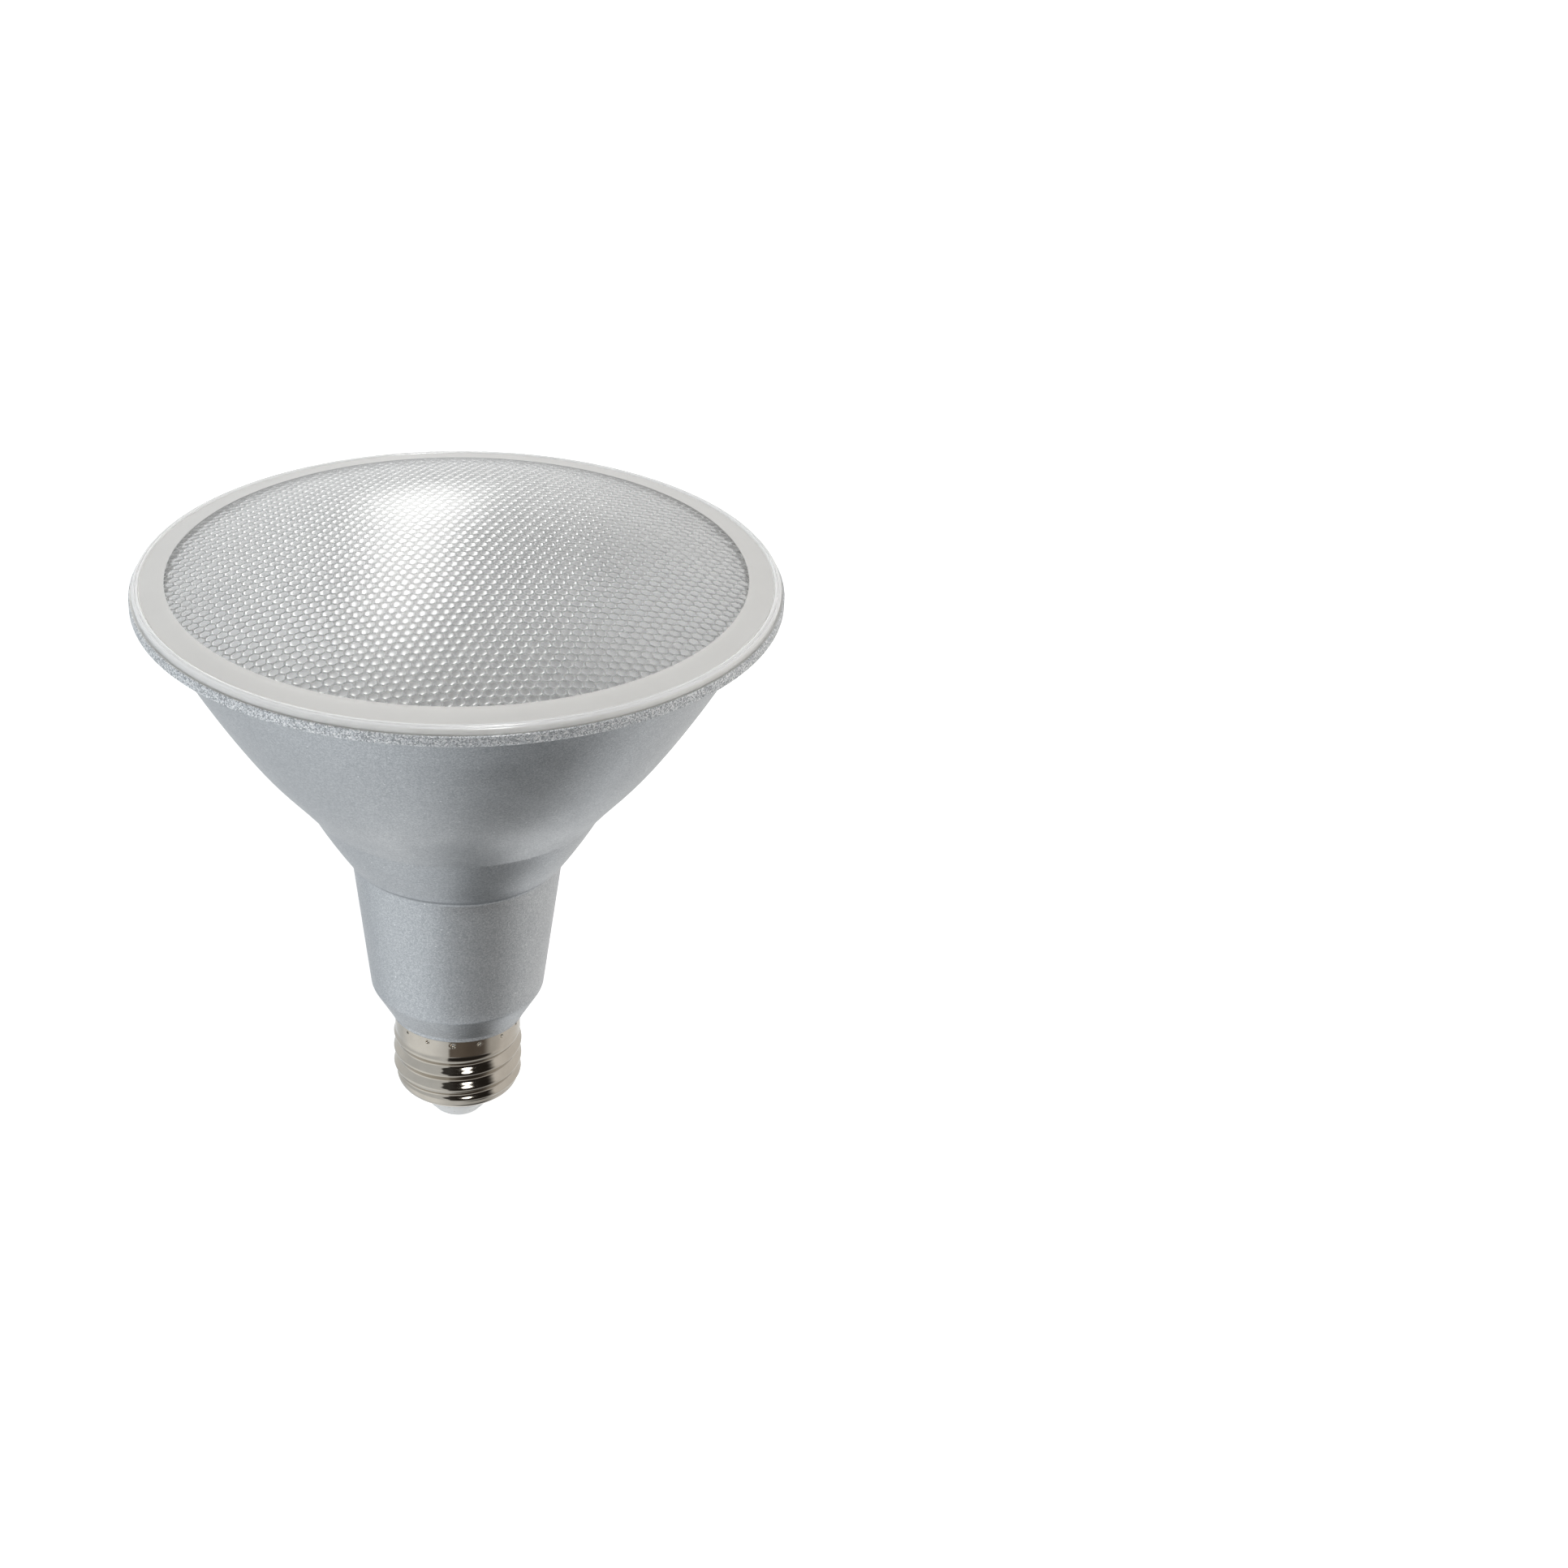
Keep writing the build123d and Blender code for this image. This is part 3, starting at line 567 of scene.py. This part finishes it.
PITCH_HEX = 2.07
HEX_N = 3
e = PITCH_HEX / math.sqrt(3) / HEX_N
tilt = math.radians(5.9)
b1 = np.array([math.cos(tilt + math.pi / 6), math.sin(tilt + math.pi / 6)]) * e
b2 = np.array([math.cos(tilt + math.pi / 2), math.sin(tilt + math.pi / 2)]) * e
OFF = np.array([0.35, 0.55])
half_n = int(HEX_R / e * 1.25) + 4
I, J = np.meshgrid(np.arange(-half_n, half_n + 1), np.arange(-half_n, half_n + 1), indexing="ij")
P = I[..., None] * b1 + J[..., None] * b2 + OFF
# the two kinds of lattice triangle: (i,j) (i+1,j) (i,j+1) and (i+1,j) (i+1,j+1) (i,j+1)
idx = np.arange(I.size).reshape(I.shape)
tri = np.concatenate([
    np.stack([idx[:-1, :-1], idx[1:, :-1], idx[:-1, 1:]], -1).reshape(-1, 3),
    np.stack([idx[1:, :-1], idx[1:, 1:], idx[:-1, 1:]], -1).reshape(-1, 3)])
flat = P.reshape(-1, 2)
mid = flat[tri].mean(1)
tri = tri[np.hypot(mid[:, 0], mid[:, 1]) < HEX_R - 0.12 * e]
# drop triangles that hang on the rest by one corner only
for _ in range(4):
    ed = np.sort(np.concatenate([tri[:, [0, 1]], tri[:, [1, 2]], tri[:, [2, 0]]]), 1)
    key = ed[:, 0].astype(np.int64) * (idx.size + 1) + ed[:, 1]
    _, inv, cnt = np.unique(key, return_inverse=True, return_counts=True)
    lonely = (cnt[inv] == 1).reshape(3, -1).sum(0)
    if not (lonely >= 2).any():
        break
    tri = tri[lonely < 2]
ed = np.concatenate([tri[:, [0, 1]], tri[:, [1, 2]], tri[:, [2, 0]]])
key = np.sort(ed, 1)
key = key[:, 0].astype(np.int64) * (idx.size + 1) + key[:, 1]
_, inv, cnt = np.unique(key, return_inverse=True, return_counts=True)
rim_edges = ed[cnt[inv] == 1]
nxt = {int(a): int(b) for a, b in rim_edges}
first = int(rim_edges[0, 0])
rim, here = [first], nxt[first]
while here != first:
    rim.append(here)
    here = nxt[here]
used = np.unique(tri)
remap_i = -np.ones(idx.size, np.int64)
remap_i[used] = np.arange(len(used))
xy = flat[used].copy()
rim_new = remap_i[np.array(rim)]
rr = np.hypot(xy[rim_new, 0], xy[rim_new, 1])
xy[rim_new] *= (HEX_R / rr)[:, None]
# distance to the nearest cell centre on the coarse lattice
a1 = PITCH_HEX * np.array([math.cos(tilt), math.sin(tilt)])
a2 = PITCH_HEX * np.array([math.cos(tilt + math.pi / 3), math.sin(tilt + math.pi / 3)])
inv_a = np.linalg.inv(np.array([a1, a2]).T)
q = (xy - OFF) @ inv_a.T
base_q = np.floor(q)
best = np.full(len(xy), 1e9)
core = np.zeros((len(xy), 2))
for da in (0, 1):
    for db in (0, 1):
        c = OFF + (base_q + (da, db)) @ np.array([a1, a2])
        h = np.max([np.abs((xy - c) @ np.array([math.cos(tilt + math.pi / 3 * k), math.sin(tilt + math.pi / 3 * k)])) for k in range(3)], 0)
        near = h < best
        best = np.where(near, h, best)
        core = np.where(near[:, None], c, core)
hexd = np.clip(best / (PITCH_HEX / 2), 0, 1)
# the outer ring of each cell is a narrow raised border, so the points inside it move outwards
wide = np.interp(hexd, (0.0, 1 / 3, 2 / 3, 1.0), (0.0, 0.44, 0.81, 1.0))
grow = np.where(hexd > 1e-6, wide / np.maximum(hexd, 1e-6), 1.0)
grow[rim_new] = 1.0
xy = core + (xy - core) * grow[:, None]
r_xy = np.hypot(xy[:, 0], xy[:, 1])
# a cell that the rim cuts must not pass it
far = np.maximum(r_xy / (HEX_R - 0.02), 1.0)
far[rim_new] = 1.0
xy = xy / far[:, None]
r_xy = np.hypot(xy[:, 0], xy[:, 1])
DISH, RIDGE = 0.038, 0.020
z_hex = centre_z + np.sqrt(R_IN ** 2 - r_xy ** 2) - DISH * (1 - wide ** 2) - RIDGE * (1 - np.clip((wide - 0.81) / 0.19, 0, 1))
z_hex[rim_new] = dome(HEX_R, R_IN)

lv = [(float(x), float(y), float(z)) for (x, y), z in zip(xy, z_hex)]
# seen from below the lenslet face looks down, so its triangles run clockwise from above
lf = [tuple(int(v) for v in remap_i[t][::-1]) for t in tri]
# triangles of the outer ring of a cell make its border
border = (hexd[remap_i[tri]] > 0.5).all(1)
lw = [5 if b else 1 for b in border]
rim_ids = [int(v) for v in rim_new]                 # counterclockwise seen from above
ang = [math.atan2(lv[v][1], lv[v][0]) for v in rim_ids]
SEG = len(rim_ids)
# every later ring carries the same angles
outline = run((HEX_R, dome(HEX_R, R_IN)), (55.20, 119.70), (56.90, 119.70), (56.90, 120.50), (60.70, 120.50), (60.70, 121.24),
              ("arc", (60.60, 121.62), (60.34, 121.80), 4), ("arc", (60.22, 121.81), (60.12, 121.73), 2), (60.05, 121.64), (59.99, 121.73),
              ("arc", (59.74, 121.98), (59.46, 121.86), 4), (59.40, 121.64), (59.28, 121.60), (59.22, 121.74), ("line", (56.0, 122.42), 2),
              ("arc", (55.74, 122.50), (55.46, 122.52), 2))
outline += [(r, dome(r, DOME_R)) for r in (55.05, 54.6, 51.0, 45.0, 37.0, 28.0, 18.0, 8.0)]
rings = [rim_ids]
for r, z in outline[1:]:
    rings.append(list(range(len(lv), len(lv) + SEG)))
    lv.extend((r * math.cos(a), r * math.sin(a), z) for a in ang)
apex = len(lv)
lv.append((0.0, 0.0, dome(0.0, DOME_R)))
for i, (a, b) in enumerate(zip(rings, rings[1:])):
    r0, z0 = outline[i]
    r1, z1 = outline[i + 1]
    if z1 > 120.4 and (r0 + r1) / 2 < 54.7:
        w = 0
    # the upper faces of the rim's two ridges take a near-white finish: a painted highlight for the bright lines an
    # overhead light makes there
    elif (r0 + r1) / 2 > 59.42 and z0 + z1 > 243.16:
        w = 4
    elif (r0 + r1) / 2 > 59.21:
        w = 3
    else:
        w = 2
    for j in range(SEG):
        k = (j + 1) % SEG
        lf.append((a[j], a[k], b[k], b[j]))
        lw.append(w)
last = rings[-1]
for j in range(SEG):
    lf.append((last[j], last[(j + 1) % SEG], apex))
    lw.append(0)
# the fifth material, near white on the ridge tops only, is a painted highlight; the rim wall keeps the plainer finish
lens = piece("lens_cover", lv, lf, [clear_mat(), lenslet_mat(), frosted_mat(), bead_mat("lens_rim_wall", (0.90, 0.89, 0.86), (0.95, 0.94, 0.91)), bead_mat("lens_rim_bead_painted_highlight", (0.96, 0.96, 0.955), (0.99, 0.99, 0.985)), border_mat()], lw, 40.0, ["lens"])
tris = sum(len(p.vertices) - 2 for p in lens.data.polygons)
print("lens triangles", tris, "rim", SEG)


# ================================================================ reflector bowl: vacuum-metallised moulding
def mirror_mat():
    m, nt, b = new_mat("reflector_metallised")
    v = obj_coord(nt)
    n1, n2 = noise(nt, v, 500.0, 3.0), noise(nt, v, 45.0, 2.0)
    nt.links.new(ramp(nt, n2, [(0.3, (0.86, 0.865, 0.87)), (0.7, (0.92, 0.92, 0.92))]), b.inputs["Base Color"])
    b.inputs["Metallic"].default_value = 1.0
    nt.links.new(remap(nt, n1, 0.3, 0.7, 0.14, 0.22), b.inputs["Roughness"])
    nt.links.new(bump(nt, n1, 0.00001), b.inputs["Normal"])
    return m


def para(r):
    return 90.8 + (r * r - 20.5 ** 2) / ((53.5 ** 2 - 20.5 ** 2) / 28.9)


up = [(r, para(r)) for r in np.linspace(20.5, 53.5, 40)]
down = [(r + 0.86, para(r) - 0.86) for r in (48.5, 43.5, 38.0, 32.0, 26.0)]
refl = [(56.80, 119.10), (56.80, 119.70)] + up[::-1] + [(21.85, 90.80)] + down[::-1] + [(54.20, 119.10)]
rv, rf, _ = revolve(refl, 256)
piece("reflector_bowl", rv, rf, [mirror_mat()], None, 35.0, ["reflector"])


# ================================================================ finishes of the carried-over CAD nodes
def emitter_mat():
    """White package with a warm phosphor dome, told apart by height."""
    m, nt, b = new_mat("emitter")
    v = obj_coord(nt)
    sep = nt.nodes.new("ShaderNodeSeparateXYZ")
    nt.links.new(v, sep.inputs[0])
    top = remap(nt, sep.outputs[2], 0.09136, 0.09144, 0.0, 1.0)
    n1 = noise(nt, v, 1500.0)
    warm = ramp(nt, n1, [(0.3, (0.93, 0.70, 0.18)), (0.7, (0.98, 0.80, 0.30))])
    white = ramp(nt, n1, [(0.3, (0.80, 0.80, 0.78)), (0.7, (0.88, 0.88, 0.86))])
    nt.links.new(blend_rgb(nt, top, white, warm), b.inputs["Base Color"])
    nt.links.new(remap(nt, n1, 0.3, 0.7, 0.22, 0.34), b.inputs["Roughness"])
    b.inputs["Coat Weight"].default_value = 0.5
    b.inputs["Coat Roughness"].default_value = 0.1
    nt.links.new(bump(nt, n1, 0.000006), b.inputs["Normal"])
    return m


def board_mat():
    m, nt, b = new_mat("board_white")
    v = obj_coord(nt)
    n1, n2 = noise(nt, v, 2200.0, 2.0), noise(nt, v, 120.0, 3.0)
    tracks = cells(nt, v, 140.0, "DISTANCE_TO_EDGE", "Distance")
    line = remap(nt, tracks, 0.02, 0.06, 0.0, 1.0, True)
    col = ramp(nt, n2, [(0.3, (0.80, 0.80, 0.78)), (0.7, (0.86, 0.86, 0.84))])
    nt.links.new(blend_rgb(nt, line, (0.72, 0.72, 0.70), col), b.inputs["Base Color"])
    nt.links.new(remap(nt, n2, 0.3, 0.7, 0.30, 0.42), b.inputs["Roughness"])
    n = bump(nt, line, 0.00003)
    nt.links.new(bump(nt, n1, 0.000008, before=n), b.inputs["Normal"])
    return m


def pcb_mat():
    m, nt, b = new_mat("pcb_green")
    v = obj_coord(nt)
    n1 = noise(nt, v, 900.0, 3.0)
    tracks = cells(nt, v, 260.0, "DISTANCE_TO_EDGE", "Distance")
    line = remap(nt, tracks, 0.03, 0.09, 1.0, 0.0, True)
    col = ramp(nt, n1, [(0.3, (0.02, 0.16, 0.055)), (0.7, (0.03, 0.21, 0.075))])
    nt.links.new(blend_rgb(nt, calc(nt, "MULTIPLY", line, 0.6), col, (0.06, 0.30, 0.10)), b.inputs["Base Color"])
    nt.links.new(remap(nt, n1, 0.3, 0.7, 0.25, 0.40), b.inputs["Roughness"])
    b.inputs["Coat Weight"].default_value = 0.3
    nt.links.new(bump(nt, line, 0.00003), b.inputs["Normal"])
    return m


def wound_mat(name, lo, hi, scale):
    """Turns of wire or tape, as fine rings along the part's height."""
    m, nt, b = new_mat(name)
    v = obj_coord(nt)
    w = nt.nodes.new("ShaderNodeTexWave")
    w.bands_direction = "Z"
    w.inputs["Scale"].default_value = scale
    w.inputs["Distortion"].default_value = 0.6
    w.inputs["Detail"].default_value = 1.0
    nt.links.new(v, w.inputs["Vector"])
    nt.links.new(ramp(nt, w.outputs["Fac"], [(0.2, lo), (0.8, hi)]), b.inputs["Base Color"])
    nt.links.new(remap(nt, w.outputs["Fac"], 0.0, 1.0, 0.45, 0.28), b.inputs["Roughness"])
    nt.links.new(bump(nt, w.outputs["Fac"], 0.00006), b.inputs["Normal"])
    return m


finish = {
    "lens_gasket": plain("seal_silicone", (0.70, 0.70, 0.69), 0.55, 0.0, 800.0),
    "led_packages": emitter_mat(),
    "led_board": board_mat(),
    "board_connector": plain("connector_white", (0.82, 0.81, 0.77), 0.38, 0.0, 1300.0),
    "board_screws": plain("screw_steel", (0.62, 0.62, 0.61), 0.28, 1.0, 1900.0),
    "thermal_pad": plain("pad_grey", (0.42, 0.43, 0.45), 0.7, 0.0, 1500.0),
    "heat_sink": plain("sink_aluminium", (0.74, 0.745, 0.75), 0.34, 1.0, 1100.0),
    "driver_sleeve": plain("sleeve_white", (0.80, 0.80, 0.78), 0.46, 0.0, 700.0),
    "driver_board": pcb_mat(),
    "input_capacitor": plain("can_black", (0.030, 0.030, 0.034), 0.32, 0.0, 1200.0, 0.3),
    "output_capacitor": plain("can_black_tall", (0.034, 0.034, 0.040), 0.30, 0.0, 1000.0, 0.3),
    "film_capacitor": plain("film_red", (0.42, 0.060, 0.035), 0.35, 0.0, 1400.0, coat=0.3),
    "transformer_core": plain("ferrite", (0.075, 0.075, 0.080), 0.55, 0.1, 1800.0, 0.3),
    "transformer_bobbin": plain("bobbin_black", (0.035, 0.035, 0.035), 0.5, 0.0, 1100.0, 0.3),
    "transformer_winding": wound_mat("tape_yellow", (0.70, 0.50, 0.06), (0.88, 0.68, 0.12), 260.0),
    "filter_choke": wound_mat("choke_sleeve", (0.05, 0.05, 0.06), (0.10, 0.10, 0.11), 420.0),
    "bridge_rectifier": plain("epoxy_black", (0.030, 0.030, 0.030), 0.42, 0.0, 2200.0, 0.3),
    "driver_chip": plain("epoxy_black_chip", (0.035, 0.034, 0.034), 0.5, 0.0, 2600.0, 0.3),
    "switching_transistor": plain("epoxy_black_transistor", (0.032, 0.032, 0.034), 0.45, 0.0, 2400.0, 0.3),
    "fusible_resistor": plain("fuse_sleeve", (0.10, 0.28, 0.14), 0.4, 0.0, 1300.0),
    "varistor": plain("varistor_blue", (0.045, 0.13, 0.42), 0.32, 0.0, 1500.0, coat=0.3),
    "live_lead": plain("wire_black", (0.03, 0.03, 0.03), 0.42, 0.0, 1700.0, 0.3),
    "neutral_lead": plain("wire_white", (0.78, 0.78, 0.76), 0.42, 0.0, 1700.0),
    "output_lead_red": plain("wire_red", (0.55, 0.03, 0.03), 0.40, 0.0, 1700.0),
    "output_lead_black": plain("wire_black_out", (0.032, 0.032, 0.036), 0.42, 0.0, 1700.0, 0.3),
}
for name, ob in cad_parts.items():
    m = finish.get(name)
    if m is None:
        m = plain("spare_" + name, (0.6, 0.6, 0.6), 0.5)
    if not ob.material_slots:
        ob.data.materials.append(m)
    for s in ob.material_slots:
        s.link = "OBJECT"
        s.material = m


# ================================================================ floor
fm, fnt, fb = new_mat("floor_pale")
fb.inputs["Base Color"].default_value = (0.86, 0.86, 0.86, 1.0)
fb.inputs["Roughness"].default_value = 0.9
fb.inputs["Emission Color"].default_value = (1.0, 1.0, 1.0, 1.0)
fb.inputs["Emission Strength"].default_value = 0.62
# the floor is clear when looked at from underneath, so that the base can be seen
clear = fnt.nodes.new("ShaderNodeBsdfTransparent")
under = fnt.nodes.new("ShaderNodeMixShader")
fnt.links.new(fnt.nodes.new("ShaderNodeNewGeometry").outputs["Backfacing"], under.inputs[0])
fnt.links.new(fb.outputs[0], under.inputs[1])
fnt.links.new(clear.outputs[0], under.inputs[2])
fnt.links.new(under.outputs[0], next(n for n in fnt.nodes if n.type == "OUTPUT_MATERIAL").inputs[0])
S = 6.0
fme = bpy.data.meshes.new("floor")
fme.from_pydata([(-S, -S, -0.0003), (S, -S, -0.0003), (S, S, -0.0003), (-S, S, -0.0003)], [], [(0, 1, 2, 3)])
fme.materials.append(fm)
floor = bpy.data.objects.new("floor", fme)
bpy.context.scene.collection.objects.link(floor)
floor.visible_glossy = False
floor.visible_diffuse = False
floor.visible_transmission = False


# ================================================================ studio light: a pale room with one dark side low in front
def heading(az, el):
    """Unit vector: azimuth 0 towards the viewer (-Y), turning to +X; elevation above the horizon."""
    a, q = math.radians(az), math.radians(el)
    return (math.sin(a) * math.cos(q), -math.cos(a) * math.cos(q), math.sin(q))


world = bpy.data.worlds.new("studio")
bpy.context.scene.world = world
world.use_nodes = True
wt = world.node_tree
wt.nodes.clear()
wout = wt.nodes.new("ShaderNodeOutputWorld")
wvec = wt.nodes.new("ShaderNodeTexCoord").outputs["Generated"]


def toward(az, el):
    n = wt.nodes.new("ShaderNodeVectorMath")
    n.operation = "DOT_PRODUCT"
    wt.links.new(wvec, n.inputs[0])
    n.inputs[1].default_value = heading(az, el)
    return n.outputs["Value"]


def lobe(az, el, inner, outer):
    return remap(wt, toward(az, el), math.cos(math.radians(outer)), math.cos(math.radians(inner)), 0.0, 1.0, True)


side = remap(wt, toward(90, 0), -0.9, 0.9, 0.0, 1.0, True)
room = blend_rgb(wt, side, (0.77, 0.812, 0.848), (0.88, 0.865, 0.845))
rise = toward(0, 90)
# straight down is a little dimmer than the table farther out
room = blend_rgb(wt, remap(wt, rise, -1.0, -0.62, 1.0, 0.0, True), room, (0.72, 0.75, 0.775))
room = blend_rgb(wt, calc(wt, "MULTIPLY", lobe(-72, -42, 8, 44), 0.75), room, (1.25, 1.29, 1.32))
room = blend_rgb(wt, calc(wt, "MULTIPLY", lobe(174, -67, 6, 23), 0.70), room, (1.28, 1.28, 1.27))
# walls darken above the table's edge, and the ceiling is light again
wall = calc(wt, "MULTIPLY", remap(wt, rise, 0.34, 0.54, 0.0, 1.0, True), remap(wt, toward(0, 0), -0.25, 0.15, 0.0, 1.0, True))
upper = remap(wt, rise, 0.64, 0.90, 0.0, 1.0, True)
room = blend_rgb(wt, calc(wt, "MULTIPLY", upper, 0.90), room, (0.33, 0.33, 0.33))
# the far wall is lighter on the left
room = blend_rgb(wt, calc(wt, "MULTIPLY", lobe(-148, 26, 14, 58), 0.45), room, (1.12, 1.12, 1.11))
room = blend_rgb(wt, calc(wt, "MULTIPLY", wall, 0.72), room, (0.22, 0.22, 0.225))
# the viewer's side of the room is dark
dark_front = calc(wt, "MULTIPLY", remap(wt, toward(22, 0), 0.70, 0.88, 0.0, 1.0, True), remap(wt, rise, -0.78, -0.64, 0.0, 1.0, True))
room = blend_rgb(wt, calc(wt, "MULTIPLY", dark_front, 0.95), room, (0.035, 0.030, 0.027))
# a wedge of it, sharp on the left and soft on the right, reaches up past the lamp
spread = calc(wt, "MULTIPLY", calc(wt, "MAXIMUM", calc(wt, "SUBTRACT", rise, 0.10), 0.0), 0.85)
left = calc(wt, "ADD", toward(72, 0), spread)
wedge = calc(wt, "MULTIPLY", remap(wt, left, -0.01, 0.05, 0.0, 1.0, True), remap(wt, toward(-28, 0), -0.06, 0.22, 0.0, 1.0, True))
wedge = calc(wt, "MULTIPLY", wedge, calc(wt, "MULTIPLY", remap(wt, rise, -0.70, -0.62, 0.0, 1.0, True), remap(wt, rise, 0.66, 0.76, 1.0, 0.0, True)))
dim = blend_rgb(wt, remap(wt, rise, -0.58, -0.46, 0.0, 1.0, True), (0.150, 0.122, 0.100), (0.022, 0.019, 0.016))
ledge = calc(wt, "MULTIPLY", remap(wt, rise, -0.55, -0.49, 0.0, 1.0, True), remap(wt, rise, -0.42, -0.36, 1.0, 0.0, True))
wedge = calc(wt, "MULTIPLY", wedge, calc(wt, "SUBTRACT", 0.95, calc(wt, "MULTIPLY", ledge, 0.75)))
room = blend_rgb(wt, wedge, room, dim)
dark_right = lobe(50, -42, 12, 34)
room = blend_rgb(wt, calc(wt, "MULTIPLY", dark_right, 0.34), room, (0.06, 0.055, 0.05))
dark_down = lobe(94, -76, 6, 21)
room = blend_rgb(wt, calc(wt, "MULTIPLY", dark_down, 0.94), room, (0.05, 0.048, 0.046))
bar = wt.nodes.new("ShaderNodeMath")
bar.operation = "ABSOLUTE"
wt.links.new(calc(wt, "SUBTRACT", rise, 0.50), bar.inputs[0])
ray = calc(wt, "MULTIPLY", remap(wt, bar.outputs[0], 0.01, 0.045, 1.0, 0.0, True), lobe(13.6, 30, 9, 26))
room = blend_rgb(wt, ray, room, (2.2, 2.2, 2.15))
lamp = lobe(13.6, 30, 5.5, 11.5)
room = blend_rgb(wt, lamp, room, (11.0, 11.0, 10.9))
# a light close overhead, in front
room = blend_rgb(wt, lobe(0, 68, 6, 14), room, (4.2, 4.2, 4.15))
# tall bright window behind
off = wt.nodes.new("ShaderNodeMath")
off.operation = "ABSOLUTE"
lean = calc(wt, "ADD", toward(90, 0), calc(wt, "MULTIPLY", rise, 0.105))
wt.links.new(calc(wt, "ADD", lean, 0.008), off.inputs[0])
strip = calc(wt, "MULTIPLY", remap(wt, off.outputs[0], 0.005, 0.09, 1.0, 0.0, True), remap(wt, toward(184, 0), 0.0, 0.3, 0.0, 1.0, True))
strip = calc(wt, "MULTIPLY", strip, calc(wt, "MULTIPLY", remap(wt, rise, 0.06, 0.30, 0.0, 1.0, True), remap(wt, rise, 0.60, 0.84, 1.0, 0.0, True)))
# a dark upright beside the window, on its right
beside = wt.nodes.new("ShaderNodeMath")
beside.operation = "ABSOLUTE"
wt.links.new(calc(wt, "ADD", lean, -0.16), beside.inputs[0])
dusk = calc(wt, "MULTIPLY", remap(wt, beside.outputs[0], 0.03, 0.16, 1.0, 0.0, True), remap(wt, toward(180, 0), 0.0, 0.3, 0.0, 1.0, True))
dusk = calc(wt, "MULTIPLY", dusk, remap(wt, rise, 0.20, 0.42, 0.0, 0.62, True))
room = blend_rgb(wt, dusk, room, (0.36, 0.36, 0.365))
room = blend_rgb(wt, strip, room, (3.4, 3.4, 3.35))
bg = wt.nodes.new("ShaderNodeBackground")
wt.links.new(room, bg.inputs[0])
bg.inputs[1].default_value = 1.0
white = wt.nodes.new("ShaderNodeBackground")
white.inputs[0].default_value = (1, 1, 1, 1)
white.inputs[1].default_value = 1.0
path = wt.nodes.new("ShaderNodeLightPath")
mixw = wt.nodes.new("ShaderNodeMixShader")
wt.links.new(path.outputs["Is Camera Ray"], mixw.inputs[0])
wt.links.new(bg.outputs[0], mixw.inputs[1])
wt.links.new(white.outputs[0], mixw.inputs[2])
wt.links.new(mixw.outputs[0], wout.inputs[0])

vs = bpy.context.scene.view_settings
vs.view_transform = "Standard"
vs.look = "None"
vs.exposure = 0.0
vs.gamma = 1.0

bpy.context.view_layer.update()
